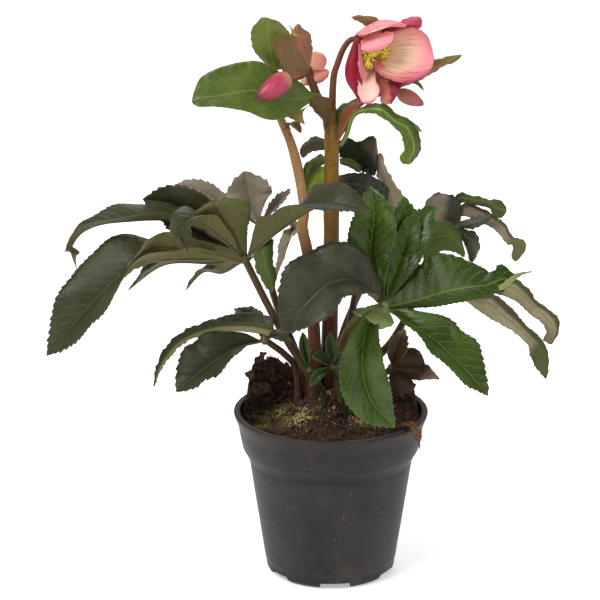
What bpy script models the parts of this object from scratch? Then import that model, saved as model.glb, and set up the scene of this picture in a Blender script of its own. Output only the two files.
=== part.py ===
"""A hellebore in flower, in its nursery pot.

Metres, +Z up. The origin is the middle of the pot's foot, and -Y is the front.
"""

import math

import bpy
import bmesh
from mathutils import Quaternion, Vector

MM = 0.001
GAP = 0.35 * MM

# The pot
POT_HEIGHT = 113 * MM
RIM_RADIUS = 65 * MM
RIM_WIDTH = 4.2 * MM
RIM_DEPTH = 11.5 * MM
RIM_EDGE = 0.8 * MM
COLLAR_RADIUS = 61.6 * MM
COLLAR_FOOT_RADIUS = 59 * MM
COLLAR_FOOT = 87 * MM
STEP_FOOT = 80 * MM
BODY_RADIUS = 55 * MM
FOOT_RADIUS = 42.8 * MM
FOOT_CORNER = 4.6 * MM
FOOT_RING = 3.5 * MM
WALL = 1.3 * MM
FLOOR = 4.5 * MM
CHANNEL_DEPTH = 3 * MM
CENTRE_RADIUS = 15 * MM
NOTCH_WIDTH = 20.5 * MM
NOTCH_HEIGHT = 3.4 * MM
NOTCH_LENGTH = 20 * MM
NOTCH_CIRCLE = 40 * MM
NOTCHES = 6
NOTCH_TURN = math.radians(-86)
DRAIN_RADIUS = 4 * MM
DRAIN_CIRCLE = 24 * MM
ROUND_STEPS = 36

# The soil: its edge at the pot's wall, and heaps as their place, height and reach
SOIL_EDGE = 106 * MM
SOIL_RINGS = (0, 0.16, 0.32, 0.48, 0.64, 0.8, 0.94, 1)
HEAPS = ((-4, 0, 20, 20), (-53, 21, 20, 7), (-40, 28, 27, 9), (54, 15, 18, 8))
SOIL_SHOULDER = 3 * MM
HOLE_FLOOR = 91 * MM
HOLE_TOP = 170 * MM
FOOT_TOP = 130

# Leaf blades
BLADE = 0.8 * MM
BLADE_STEP = 8 * MM
FEWEST_ROWS = 5
MOST_ROWS = 12
BLADE_BASE = 1.6 * MM
TOOTH = 0.07
FOLD = 42
FOLD_AT_TIP = 0.45

# How fast a blade widens from its base and narrows to its tip
LEAFLET = (1.15, 0.9)
BRACT = (0.95, 0.68)
SEPAL = (0.52, 0.34)

UP = Vector((0, 0, 1))
FRONT = (0, -1, 0.25)
FRONT_UP = (0, -0.6, 0.8)
BACK = (0, 1, 0.2)

# Each leaf stands on a foot in the soil. Its stalk runs on to the hub where its blades meet.
# A blade is its width, the way its upper face looks (None is upwards, a pair is at the base
# and at the tip) and its midrib from the hub to the tip. All are in millimetres.
LEAVES = {
    "leaf_left": {
        "colour": (0.055, 0.075, 0.045),
        "foot": (-12, -10),
        "radius": 2.8,
        "stalk": [(-16, -12, 144), (-31, -13, 169), (-42, -14, 191), (-50, -15, 208), (-57, -15, 223)],
        "blades": [
            (52, ((0, 0.5, 1), (-0.3, -0.9, 0.5)),
             [(-86, -25, 226), (-115, -35, 228), (-134, -40, 221), (-158, -44, 199), (-186, -48, 167)]),
            (28, None, [(-77, -1, 216), (-110, 5, 213), (-135, 5, 195)]),
            (18, None, [(-72, 6, 207), (-85, 14, 205), (-97, 18, 191)]),
            (42, None, [(-74, -29, 243), (-84, -38, 255), (-94, -49, 259), (-92, -57, 244)]),
            (36, ((0, 0.3, 1), (0, -0.5, 1)), [(-32, -38, 251), (-4, -62, 274), (25, -72, 272)]),
            (22, FRONT_UP, [(-45, -22, 218), (-38, -27, 204)]),
            (30, None,
             [(-96, -12, 247), (-138, -20, 250), (-160, -22, 245), (-170, -21, 232), (-167, -20, 218)]),
            (38, FRONT, [(-83, -2, 242), (-104, -2, 256), (-124, -5, 261)]),
            (32, FRONT, [(-60, -23, 241), (-64, -28, 266)]),
        ],
    },
    "leaf_rear_left": {
        "colour": (0.09, 0.085, 0.09),
        "foot": (-18, 11),
        "radius": 2.6,
        "stalk": [(-24, 13, 150), (-36, 17, 180), (-44, 20, 210), (-47, 22, 235)],
        "blades": [
            (16, FRONT_UP, [(-70, 26, 247), (-93, 26, 260), (-106, 22, 257)]),
            (36, FRONT, [(-53, 31, 248), (-58, 34, 269)]),
            (13, None, [(-34, 22, 240), (-26, 20, 234), (-30, 17, 220), (-37, 14, 200)]),
            (9, FRONT_UP, [(-38, 31, 245), (-27, 36, 256)]),
        ],
    },
    "leaf_low_left": {
        "colour": (0.075, 0.09, 0.045),
        "foot": (-22, -5),
        "radius": 2.6,
        "stalk": [(-24, -8, 146), (-31, -15, 157), (-38, -19, 164), (-44, -21, 169)],
        "blades": [
            (40, (0, -0.4, 0.9), [(-64, -27, 165), (-83, -35, 154), (-102, -42, 140)]),
            (20, None,
             [(-66, -11, 174), (-85, -12, 169), (-101, -14, 162), (-111, -16, 153), (-117, -18, 135)]),
            (20, None, [(-54, -6, 177), (-62, 8, 182)]),
            (10, FRONT_UP, [(-36, -28, 174), (-26, -31, 171)]),
        ],
    },
    "leaf_front_right": {
        "colour": (0.05, 0.15, 0.03),
        "foot": (6, -7),
        "radius": 3.2,
        "stalk": [(6, -9, 150), (8, -15, 166), (14, -26, 182), (24, -39, 195), (34, -45, 200)],
        "blades": [
            (54, FRONT_UP, [(16, -60, 221), (-1, -68, 223), (-17, -75, 211), (-32, -78, 193)]),
            (36, FRONT, [(25, -42, 231), (27, -38, 258), (25, -30, 277)]),
            (28, FRONT, [(40, -35, 228), (47, -29, 250), (47, -25, 269)]),
            (26, FRONT, [(43, -40, 222), (52, -32, 242), (63, -25, 258), (69, -24, 259)]),
            (40, FRONT_UP, [(56, -52, 206), (85, -58, 214), (122, -52, 224)]),
            (38, (0, -0.4, 0.9), [(57, -60, 189), (79, -68, 172), (101, -72, 148)]),
            (42, FRONT,
             [(24, -60, 194), (22, -65, 178), (22, -66, 160), (27, -66, 142), (39, -64, 123)]),
            (20, None, [(27, -54, 200), (14, -59, 196)]),
            (24, BACK, [(27, -30, 208), (19, -21, 224), (12, -18, 240)]),
        ],
    },
    "leaf_right": {
        "colour": (0.045, 0.06, 0.035),
        "foot": (26, 34),
        "radius": 2.6,
        "stalk": [(42, 34, 150), (58, 26, 185), (67, 12, 221)],
        "blades": [
            (17, None, [(80, 25, 235), (94, 33, 236), (114, 34, 226), (127, 32, 215), (121, 30, 204)]),
            (27, None, [(88, 14, 209), (109, 15, 195), (133, 10, 179), (148, 5, 163), (144, 3, 154)]),
            (22, None, [(80, 2, 206), (93, -2, 193), (117, -4, 172), (134, -6, 150), (142, -8, 134)]),
            (26, BACK, [(74, 4, 229), (83, -4, 230), (90, -9, 219)]),
            (13, None, [(83, 10, 231), (91, 6, 228), (91, 1, 215)]),
            (22, FRONT_UP, [(66, 19, 239), (72, 22, 249), (84, 17, 250), (92, 10, 242)]),
            (26, (0.3, -0.9, 0.2), [(78, 6, 215), (87, 2, 207)]),
            (14, None, [(74, 28, 240), (88, 31, 247), (106, 28, 245), (116, 24, 235)]),
            (11, FRONT_UP, [(85, 14, 233), (106, 11, 238)]),
        ],
    },
    "leaf_behind_stem": {
        "colour": (0.06, 0.07, 0.05),
        "foot": (8, 20),
        "radius": 2.6,
        "stalk": [(14, 26, 170), (22, 36, 215), (27, 40, 246)],
        "blades": [
            (38, FRONT, [(22, 40, 263), (20, 38, 281), (21, 36, 294)]),
            (18, None, [(25, 44, 260), (27, 46, 269), (35, 46, 260), (43, 44, 243)]),
            (22, FRONT_UP, [(19, 42, 256), (5, 40, 261)]),
            (20, None, [(13, 44, 272), (-3, 40, 287), (-20, 32, 274)]),
            (12, FRONT, [(20, 32, 244), (11, 27, 231)]),
        ],
    },
    "leaf_low_right": {
        "colour": (0.10, 0.055, 0.045),
        "foot": (26, 8),
        "radius": 2.4,
        "stalk": [(33, 12, 131), (41, 15, 137)],
        "blades": [
            (24, FRONT_UP, [(56, 12, 141), (65, 11, 139), (71, 10, 132)]),
            (16, FRONT_UP, [(50, 19, 144), (59, 22, 152)]),
            (18, FRONT, [(47, 2, 136), (52, -9, 127)]),
            (15, FRONT, [(44, 9, 152), (49, 5, 168)]),
        ],
    },
    "leaf_rear": {
        "colour": (0.05, 0.065, 0.04),
        "foot": (4, 38),
        "radius": 2.6,
        "stalk": [(8, 46, 150), (16, 56, 168), (22, 62, 180)],
        "blades": [
            (30, None, [(40, 74, 188), (54, 84, 180), (62, 88, 160)]),
            (34, None, [(30, 88, 188), (36, 112, 174), (40, 126, 148)]),
            (32, None, [(4, 86, 186), (-10, 106, 174), (-18, 118, 150)]),
            (24, None, [(0, 66, 188), (-20, 72, 184), (-32, 76, 166)]),
        ],
    },
    "leaf_young": {
        "colour": (0.07, 0.17, 0.035),
        "foot": (9, -23),
        "radius": 1.8,
        "stalk": [(7, -26, 139), (1, -29, 153)],
        "blades": [
            (9, FRONT, [(0, -30, 164), (-1, -29, 177)]),
            (11, FRONT_UP, [(-7, -33, 160), (-13, -35, 162)]),
            (8, FRONT, [(-8, -34, 150), (-14, -37, 142)]),
            (7, FRONT, [(4, -33, 159), (7, -34, 165)]),
        ],
    },
    "shoot_folded": {
        "colour": (0.09, 0.2, 0.04),
        "foot": (-5, -18),
        "radius": 1.9,
        "stalk": [(-8, -21, 138), (-14, -24, 149)],
        "blades": [
            (10, FRONT, [(-17, -25, 161), (-19, -25, 176)]),
        ],
    },
}

# The flower stalks. Each shoot is a radius at its start and end and the points of its middle
# line. Bracts are written as the blades above are, with the size of their teeth, and with the
# point that they grow from first.
STALKS = {
    "stalk_main": {
        "colour": (0.16, 0.085, 0.03),
        "foot": (-2, 6),
        "shoots": [
            (5.4, 4.7, [(-1, 5, 160), (0, 5, 230), (0, 4, 270), (0, 4, 312)]),
            (2.6, 1.8,
             [(0, 4, 308), (1, 5, 338), (4, 7, 350), (8, 11, 359), (13, 13, 364), (17.2, 11.6, 363)]),
            (3.0, 2.6, [(-1, 4, 308), (-7, 5, 322), (-12, 7, 334), (-16, 8, 346)]),
            (2.2, 1.6, [(-1, 4, 292), (12, 9, 312), (20, 15, 321), (38, 20, 328), (43, 19.6, 326.6)]),
            (1.6, 1.4, [(-16, 8, 345), (-22, -1, 349), (-28, -13, 349)]),
        ],
        "bracts": [
            (37, (0, -0.85, 0.5), 0.04,
             [(-1, 4, 313), (-12, -2, 323), (-34, -9, 332), (-60, -14, 336), (-93, -15, 331)]),
            (30, BACK, 0.03, [(-15, 7, 341), (-22, -1, 348), (-31, -3, 363)]),
            (15, BACK, 0.03, [(-15, 8, 345), (-18, 2, 358), (-22, 2, 377)]),
            (13, FRONT, 0.03, [(1, 3, 303), (8, 0, 316), (16, -2, 326)]),
            (14, FRONT_UP, 0.06,
             [(2, 2, 296), (13, -9, 314), (26, -17, 323), (42, -21, 317), (53, -22, 301), (47, -22, 286)]),
            (15, FRONT_UP, 0.03, [(42, 20, 328), (60, 16, 334), (73, 13, 343), (85, 10, 354)]),
            (7, FRONT_UP, 0.0, [(52, 17, 332), (58, 14, 333), (65, 12, 327)]),
            (10, FRONT, 0.03, [(13, 14, 364), (24, 18, 369), (26, 18, 376), (12, 16, 378)]),
        ],
    },
    "stalk_left": {
        "colour": (0.17, 0.09, 0.04),
        "foot": (-13, -1),
        "shoots": [
            (4.2, 2.6, [(-11, -2, 158), (-15, 0, 217), (-19, 1, 238), (-18, 2, 252), (-21, 4, 273),
                        (-26, 6, 294), (-33, 8, 311), (-40, 10, 328), (-40, 11, 341)]),
        ],
        "bracts": [
            (27, BACK, 0.04, [(-40, 11, 338), (-41, 12, 360), (-42, 10, 381)]),
            (15, FRONT_UP, 0.02,
             [(-19, 2, 236), (-13, 7, 260), (-6, 17, 281), (8, 24, 283), (18, 27, 272)]),
            (8, None, 0.02, [(-30, 7, 305), (-26, 3, 310), (-20, -2, 305)]),
        ],
    },
}

# The open bloom looks to the right, down and to the front from its receptacle. Each sepal is
# its width and its midrib.
BLOOM = Vector((21, 9, 360))
BLOOM_AXIS = Vector((0.42, -0.82, -0.38)).normalized()
SEPALS = [
    (56, [(38, 3, 361), (53, -3, 359), (68, -9, 354)]),
    (35, [(26, 6, 372), (29, -4, 380), (31, -18, 378)]),
    (18, [(25, -1, 367), (30, -9, 370), (34, -17, 367)]),
    (40, [(11, 2, 354), (7, -9, 353), (10, -21, 353)]),
    (24, [(18, 1, 349), (17, -6, 338), (20, -12, 327)]),
    (19, [(29, 6, 348), (35, 1, 338), (37, -4, 325)]),
    (14, [(36, 14, 367), (48, 14, 374), (57, 12, 378)]),
]
RECEPTACLE = 4 * MM
STAMEN_ROOT = 7.2 * MM
STYLE_ROOT = 4.2 * MM
STAMENS = 28
STAMEN_LENGTH = 10 * MM
STYLES = 5
STYLE_LENGTH = 13 * MM

HALF_OPEN = Vector((-16, 13.8, 343))
HALF_OPEN_AXIS = Vector((0.8, 0.6, 0.1)).normalized()
BUDS = {
    "bud_front": {"base": (-29.4, -14.4, 348), "tip": (-47, -29, 333), "radius": 7.6},
    "bud_right": {"base": (43.5, 18.9, 325.2), "tip": (58, 15, 317), "radius": 5.2},
}

# A dry scrap of leaf that lies over the rim at the right front
SCRAP = [(46, -28.5, 111.5), (51, -31.7, 115), (55.9, -34.7, 114.8), (59, -37.4, 109), (59, -39.4, 100)]


def finish(name, colour, roughness, metallic=0.0):
    material = bpy.data.materials.new(name)
    material.use_nodes = True
    shader = material.node_tree.nodes["Principled BSDF"]
    shader.inputs["Base Color"].default_value = (*colour, 1)
    shader.inputs["Roughness"].default_value = roughness
    shader.inputs["Metallic"].default_value = metallic
    return material


def collection(name):
    made = bpy.data.collections.new(name)
    bpy.context.scene.collection.children.link(made)
    return made


def add(mesh, name, place):
    made = bpy.data.objects.new(name, mesh)
    place.objects.link(made)
    return made


def evaluated_mesh(thing):
    """The object's mesh with its modifiers applied and its caps welded."""
    bpy.context.view_layer.update()
    graph = bpy.context.evaluated_depsgraph_get()
    mesh = bpy.data.meshes.new_from_object(thing.evaluated_get(graph))
    welded = bmesh.new()
    welded.from_mesh(mesh)
    bmesh.ops.remove_doubles(welded, verts=welded.verts, dist=1e-6)
    welded.to_mesh(mesh)
    welded.free()
    return mesh


def boolean(thing, operation, others, solver="MANIFOLD"):
    """Joins the others to a thing, or cuts them from it, and then removes them."""
    work = collection("work")
    for other in others:
        for old in list(other.users_collection):
            old.objects.unlink(other)
        work.objects.link(other)
    change = thing.modifiers.new(operation.title(), "BOOLEAN")
    change.operation = operation
    change.operand_type = "COLLECTION"
    change.collection = work
    change.solver = solver
    changed = evaluated_mesh(thing)
    thing.modifiers.clear()
    thing.data = changed
    for other in others:
        bpy.data.objects.remove(other)
    bpy.data.collections.remove(work)


def millimetres(points):
    return [Vector(point) * MM for point in points]


def smooth(points, count):
    """Evenly spaced points of a smooth curve through the given points."""
    ends = [2 * points[0] - points[1], *points, 2 * points[-1] - points[-2]]
    fine = []
    for index in range(len(points) - 1):
        a, b, c, d = ends[index : index + 4]
        for step in range(12):
            u = step / 12
            fine.append(
                b + 0.5 * u * (c - a + u * (2 * a - 5 * b + 4 * c - d + u * (3 * b - a - 3 * c + d)))
            )
    fine.append(points[-1])
    lengths = [0.0]
    for before, after in zip(fine, fine[1:]):
        lengths.append(lengths[-1] + (after - before).length)
    spaced = []
    index = 0
    for step in range(count):
        wanted = lengths[-1] * step / (count - 1)
        while index < len(fine) - 2 and lengths[index + 1] < wanted:
            index += 1
        part = (wanted - lengths[index]) / (lengths[index + 1] - lengths[index])
        spaced.append(fine[index].lerp(fine[index + 1], part))
    return spaced


def tube(points, start, end, place, sides=1):
    """A stem along the points, from one radius to another."""
    curve = bpy.data.curves.new("stem", "CURVE")
    curve.dimensions = "3D"
    curve.bevel_depth = 1
    curve.bevel_resolution = sides
    curve.use_fill_caps = True
    spline = curve.splines.new("POLY")
    spline.points.add(len(points) - 1)
    for index, point in enumerate(points):
        spline.points[index].co = (*point, 1)
        spline.points[index].radius = start + (end - start) * index / (len(points) - 1)
    guide = add(curve, "stem guide", place)
    stem = add(evaluated_mesh(guide), "stem", place)
    bpy.data.objects.remove(guide)
    return stem


def ball(centre, radius, place, stretch=1.0):
    """A small hub of few faces, where stems and blades meet."""
    mesh = bpy.data.meshes.new("hub")
    made = bmesh.new()
    bmesh.ops.create_icosphere(made, subdivisions=1, radius=radius)
    bmesh.ops.scale(made, vec=(1, 1, stretch), verts=made.verts)
    bmesh.ops.translate(made, vec=centre, verts=made.verts)
    made.to_mesh(mesh)
    made.free()
    return add(mesh, "hub", place)


def outline(part, shape):
    """Half width of a blade at a part of its length, as a share of its widest."""
    rise, fall = shape
    top = rise / (rise + fall)
    peak = top**rise * (1 - top) ** fall
    return part**rise * (1 - part) ** fall / peak


def blade(route, width, face, place, tooth=TOOTH, fold=FOLD, shape=LEAFLET):
    """A thin blade folded along its midrib, with teeth that point to its tip."""
    length = sum((after - before).length for before, after in zip(route, route[1:]))
    rows = min(max(round(length / BLADE_STEP), FEWEST_ROWS), MOST_ROWS)
    middle = smooth(route, rows)
    step = (middle[1] - middle[0]).length
    turning = isinstance(face[0], tuple)
    normal = Vector(face[0] if turning else face)
    made = bmesh.new()
    lines = []
    for index, point in enumerate(middle):
        part = index / (rows - 1)
        ahead = middle[min(index + 1, rows - 1)] - middle[max(index - 1, 0)]
        ahead.normalize()
        if turning:
            normal = Vector(face[0]).lerp(Vector(face[1]), part)
        normal = (normal - ahead * normal.dot(ahead)).normalized()
        side = ahead.cross(normal)
        half = max(0.5 * width * outline(part, shape), 0.5 * BLADE_BASE)
        lean = math.radians(fold * (1 - part * (1 - FOLD_AT_TIP)))
        forward = Vector()
        if 0 < index < rows - 1:
            half *= 1 + tooth * (1 if index % 2 else -1)
            forward = ahead * step * (3 * tooth if index % 2 else -tooth)
        rise = normal * half * math.sin(lean)
        across = side * half * math.cos(lean)
        lines.append(
            [
                made.verts.new(point - across + rise + forward),
                made.verts.new(point),
                made.verts.new(point + across + rise + forward),
            ]
        )
    for near, far in zip(lines, lines[1:]):
        made.faces.new([near[0], near[1], far[1]])
        made.faces.new([far[1], far[0], near[0]])
        made.faces.new([near[1], near[2], far[1]])
        made.faces.new([far[1], near[2], far[2]])
    mesh = bpy.data.meshes.new("blade")
    made.to_mesh(mesh)
    made.free()
    sheet = add(mesh, "blade sheet", place)
    thickness = sheet.modifiers.new("Thickness", "SOLIDIFY")
    thickness.thickness = BLADE
    thickness.offset = 0
    solid = add(evaluated_mesh(sheet), "blade", place)
    bpy.data.objects.remove(sheet)
    return solid


def from_hub(hub, route, reach):
    """A blade's midrib, which starts inside the hub on the blade's own side."""
    points = millimetres(route)
    return [hub + (points[0] - hub).normalized() * reach, *points]


def planted(foot, route):
    """A stem's points: straight up out of its hole, then along its route."""
    base = Vector((*foot, 0)) * MM
    above = base + UP * FOOT_TOP * MM
    points = smooth([above, *millimetres(route)], 2 * len(route) + 1)
    return [base + UP * (HOLE_FLOOR + GAP), *points]


def round_off(thing, angle=35):
    thing.data.shade_smooth()
    thing.data.set_sharp_from_angle(angle=math.radians(angle))


def make_leaf(name, leaf, place):
    hub = Vector(leaf["stalk"][-1]) * MM
    radius = leaf["radius"] * MM
    stalk = tube(planted(leaf["foot"], leaf["stalk"]), radius, 0.85 * radius, place)
    stalk.name = name
    pieces = [ball(hub, 1.35 * radius, place)]
    for width, face, route in leaf["blades"]:
        midrib = from_hub(hub, route, 0.8 * radius)
        pieces.append(blade(midrib, width * MM, face or UP, place))
    boolean(stalk, "UNION", pieces)
    stalk.data.materials.clear()
    stalk.data.materials.append(finish(name, leaf["colour"], 0.4))
    round_off(stalk)


def make_stalk(name, stalk, place):
    stems = []
    for index, (start, end, route) in enumerate(stalk["shoots"]):
        if index == 0:
            points = planted(stalk["foot"], route)
        else:
            points = smooth(millimetres(route), 3 * len(route) - 2)
        stems.append(tube(points, start * MM, end * MM, place, 2 if index == 0 else 1))
    body = stems[0]
    body.name = name
    for width, face, tooth, route in stalk["bracts"]:
        stems.append(blade(millimetres(route), width * MM, face or UP, place, tooth, 20, BRACT))
    boolean(body, "UNION", stems[1:])
    body.data.materials.clear()
    body.data.materials.append(finish(name, stalk["colour"], 0.45))
    round_off(body)


def make_bloom(place):
    centre = BLOOM * MM
    core = ball(centre, RECEPTACLE, place)
    core.name = "bloom_sepals"
    sepals = []
    for width, route in SEPALS:
        midrib = from_hub(centre, route, 2 * MM)
        sepals.append(blade(midrib, width * MM, BLOOM_AXIS, place, 0.01, 20, SEPAL))
    boolean(core, "UNION", sepals)
    core.data.materials.append(finish("bloom_sepals", (0.75, 0.25, 0.28), 0.5))
    round_off(core)


def spread(axis, count, angle, turn=0.0):
    """Directions in a cone round an axis."""
    across = axis.orthogonal().normalized()
    for index in range(count):
        around = Quaternion(axis, turn + 2 * math.pi * index / count)
        yield (axis * math.cos(angle) + (around @ across) * math.sin(angle)).normalized()


def make_stamens(place):
    """Filaments with an anther at each end, in three rings on one disc."""
    root = BLOOM * MM + BLOOM_AXIS * STAMEN_ROOT
    disc = tube([root, root + BLOOM_AXIS * 2 * MM], 4.2 * MM, 3.4 * MM, place, 2)
    bore_end = root + BLOOM_AXIS * 4 * MM
    bore = tube([root - BLOOM_AXIS * 2 * MM, bore_end], 2 * MM, 2 * MM, place, 2)
    boolean(disc, "DIFFERENCE", [bore])
    disc.name = "bloom_stamens"
    pieces = []
    rings = ((STAMENS // 2, 40, 0.85), (STAMENS // 3, 26, 0.95), (STAMENS // 6, 14, 1.05))
    for count, angle, length in rings:
        for way in spread(BLOOM_AXIS, count, math.radians(angle), angle):
            out = way - BLOOM_AXIS * way.dot(BLOOM_AXIS)
            start = root + BLOOM_AXIS * MM + out.normalized() * 2.9 * MM
            end = start + way * STAMEN_LENGTH * length
            pieces.append(tube([start, end - way * 2 * MM, end], 0.35 * MM, 0.9 * MM, place, 0))
    boolean(disc, "UNION", pieces)
    disc.data.materials.append(finish("bloom_stamens", (0.75, 0.6, 0.06), 0.6))


def make_styles(place):
    """Swollen carpels at the middle, drawn out into red styles."""
    root = BLOOM * MM + BLOOM_AXIS * STYLE_ROOT
    core = tube([root, root + BLOOM_AXIS * 4 * MM], 1.3 * MM, 1.3 * MM, place, 2)
    core.name = "bloom_styles"
    pieces = []
    for way in spread(BLOOM_AXIS, STYLES, math.radians(14), 0.3):
        start = root + BLOOM_AXIS * 3 * MM
        end = start + way * STYLE_LENGTH
        pieces.append(tube([start, (start + end) / 2, end], 0.8 * MM, 0.45 * MM, place, 0))
    boolean(core, "UNION", pieces)
    core.data.materials.append(finish("bloom_styles", (0.45, 0.06, 0.06), 0.5))


def make_half_open(place):
    """Five cupped sepals seen from behind."""
    centre = HALF_OPEN * MM
    core = ball(centre, 3 * MM, place)
    core.name = "bloom_half_open"
    sepals = []
    for way in spread(HALF_OPEN_AXIS, 5, math.radians(58), 0.5):
        inner = centre + way * 7 * MM
        tip = inner + (way * 0.5 + HALF_OPEN_AXIS).normalized() * 9 * MM
        midrib = [centre + way * 1.6 * MM, inner, tip]
        sepals.append(blade(midrib, 12 * MM, HALF_OPEN_AXIS, place, 0.01, 20, SEPAL))
    boolean(core, "UNION", sepals)
    core.data.materials.append(finish("bloom_half_open", (0.8, 0.38, 0.3), 0.5))
    round_off(core)


def make_bud(name, bud, place):
    """A closed bud: an egg with five soft lobes."""
    base, tip = Vector(bud["base"]) * MM, Vector(bud["tip"]) * MM
    axis = tip - base
    mesh = bpy.data.meshes.new(name)
    made = bmesh.new()
    bmesh.ops.create_uvsphere(made, u_segments=15, v_segments=9, radius=1)
    turn = UP.rotation_difference(axis)
    for point in made.verts:
        along = (point.co.z + 1) / 2
        around = math.atan2(point.co.y, point.co.x)
        lobes = 1 + 0.07 * math.cos(5 * around)
        radius = bud["radius"] * MM * (1 - 0.3 * (2 * along - 1)) * lobes
        flat = Vector((point.co.x * radius, point.co.y * radius, along * axis.length))
        point.co = base + turn @ flat
    made.to_mesh(mesh)
    made.free()
    solid = add(mesh, name, place)
    solid.data.materials.append(finish(name, (0.6, 0.12, 0.18), 0.4))
    round_off(solid, 60)


def inner_radius(height):
    """Radius of the pot's inner wall at a height."""
    levels = [
        (0, FOOT_RADIUS - WALL),
        (STEP_FOOT - WALL, BODY_RADIUS - WALL),
        (COLLAR_FOOT - WALL, COLLAR_FOOT_RADIUS - WALL),
        (POT_HEIGHT - RIM_DEPTH, COLLAR_RADIUS - WALL),
        (POT_HEIGHT, RIM_RADIUS - RIM_WIDTH),
    ]
    for (low, inner), (high, outer) in zip(levels, levels[1:]):
        if height <= high:
            return inner + (outer - inner) * (height - low) / (high - low)
    return levels[-1][1]


def turned(name, profile, place):
    """A round solid from its half outline, which runs down the outer side."""
    mesh = bpy.data.meshes.new(name)
    made = bmesh.new()
    points = [made.verts.new((radius, 0, height)) for radius, height in profile]
    for before, after in zip(points, points[1:]):
        made.edges.new((before, after))
    made.to_mesh(mesh)
    made.free()
    solid = add(mesh, name, place)
    screw = solid.modifiers.new("Turn", "SCREW")
    screw.steps = ROUND_STEPS
    screw.render_steps = ROUND_STEPS
    screw.use_merge_vertices = True
    screw.merge_threshold = 0.00001
    solid.data = evaluated_mesh(solid)
    solid.modifiers.clear()
    return solid


def cylinder(centre, radius, low, high, place, steps=16):
    mesh = bpy.data.meshes.new("round cutter")
    made = bmesh.new()
    bmesh.ops.create_cone(
        made, cap_ends=True, segments=steps, radius1=radius, radius2=radius, depth=high - low
    )
    bmesh.ops.translate(made, vec=(centre.x, centre.y, (low + high) / 2), verts=made.verts)
    made.to_mesh(mesh)
    made.free()
    return add(mesh, "round cutter", place)


def make_pot(place, cutters):
    inside = [(0, FLOOR), (inner_radius(FLOOR), FLOOR)]
    for height in (STEP_FOOT - WALL, COLLAR_FOOT - WALL, POT_HEIGHT - RIM_DEPTH, POT_HEIGHT):
        inside.append((inner_radius(height), height))
    outside = [
        (RIM_RADIUS - RIM_EDGE, POT_HEIGHT),
        (RIM_RADIUS, POT_HEIGHT - RIM_EDGE),
        (RIM_RADIUS - 1.6 * MM, POT_HEIGHT - RIM_DEPTH / 2),
        (COLLAR_RADIUS, POT_HEIGHT - RIM_DEPTH),
        (COLLAR_FOOT_RADIUS, COLLAR_FOOT),
        (BODY_RADIUS, STEP_FOOT),
    ]
    corner_top = FOOT_RADIUS + 0.6 * MM
    for step in range(5):
        angle = math.pi / 8 * step
        radius = corner_top - FOOT_CORNER * (1 - math.cos(angle))
        outside.append((radius, FOOT_CORNER * (1 - math.sin(angle))))
    ring = corner_top - FOOT_CORNER - FOOT_RING
    under = [
        (ring, 0),
        (ring - 1 * MM, CHANNEL_DEPTH),
        (CENTRE_RADIUS + 1 * MM, CHANNEL_DEPTH),
        (CENTRE_RADIUS, 0),
        (0, 0),
    ]
    pot = turned("pot", inside + outside + under, place)
    notches = []
    for index in range(NOTCHES):
        angle = NOTCH_TURN + 2 * math.pi * index / NOTCHES
        mesh = bpy.data.meshes.new("notch")
        made = bmesh.new()
        bmesh.ops.create_cube(made, size=1)
        bmesh.ops.scale(made, vec=(NOTCH_LENGTH, NOTCH_WIDTH, 2 * NOTCH_HEIGHT), verts=made.verts)
        made.to_mesh(mesh)
        made.free()
        notch = add(mesh, "notch", cutters)
        notch.location = NOTCH_CIRCLE * Vector((math.cos(angle), math.sin(angle), 0))
        notch.rotation_euler.z = angle
        notches.append(notch)
        way = angle + math.pi / NOTCHES
        middle = DRAIN_CIRCLE * Vector((math.cos(way), math.sin(way), 0))
        notches.append(cylinder(middle, DRAIN_RADIUS, -MM, 2 * FLOOR, cutters))
    boolean(pot, "DIFFERENCE", notches, "EXACT")
    pot.data.materials.append(finish("pot_plastic", (0.06, 0.055, 0.057), 0.42))
    round_off(pot)


def ground(x, y):
    """Height of the soil above its edge at a place, in millimetres."""
    height = 0.0
    for centre_x, centre_y, top, reach in HEAPS:
        away = ((x - centre_x) ** 2 + (y - centre_y) ** 2) / (2 * reach**2)
        height += top * math.exp(-away)
    height += 1.1 * math.sin(0.31 * x + 0.9) * math.cos(0.27 * y - 0.4)
    height += 0.8 * math.sin(0.53 * y + 0.22 * x)
    return height


def make_soil(place, cutters):
    edge = inner_radius(SOIL_EDGE) - GAP
    profile = [(edge * share, SOIL_EDGE) for share in SOIL_RINGS]
    for height in (POT_HEIGHT - RIM_DEPTH, COLLAR_FOOT - WALL, STEP_FOOT - WALL, FLOOR + GAP):
        profile.append((inner_radius(height) - GAP, height))
    profile.append((0, FLOOR + GAP))
    soil = turned("soil", profile, place)
    for point in soil.data.vertices:
        away = math.hypot(point.co.x, point.co.y)
        if point.co.z > SOIL_EDGE - 1e-5 and away < 0.99 * edge:
            fade = min(1, (edge - away) / SOIL_SHOULDER)
            point.co.z += fade * ground(point.co.x / MM, point.co.y / MM) * MM
    holes = []
    feet = [(leaf["foot"], leaf["radius"]) for leaf in LEAVES.values()]
    feet += [(stalk["foot"], stalk["shoots"][0][0]) for stalk in STALKS.values()]
    for foot, radius in feet:
        centre = Vector((*foot, 0)) * MM
        holes.append(cylinder(centre, (radius * MM + GAP) / 0.98, HOLE_FLOOR, HOLE_TOP, cutters))
    boolean(soil, "DIFFERENCE", holes, "EXACT")
    soil.data.materials.append(finish("peat", (0.06, 0.035, 0.02), 0.95))
    round_off(soil, 50)


def make_scrap(place):
    scrap = blade(millimetres(SCRAP), 9 * MM, (0.6, -0.4, 1), place, 0.05, 12)
    scrap.name = "dry_scrap"
    scrap.data.materials.append(finish("dry_leaf", (0.35, 0.24, 0.13), 0.9))


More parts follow.
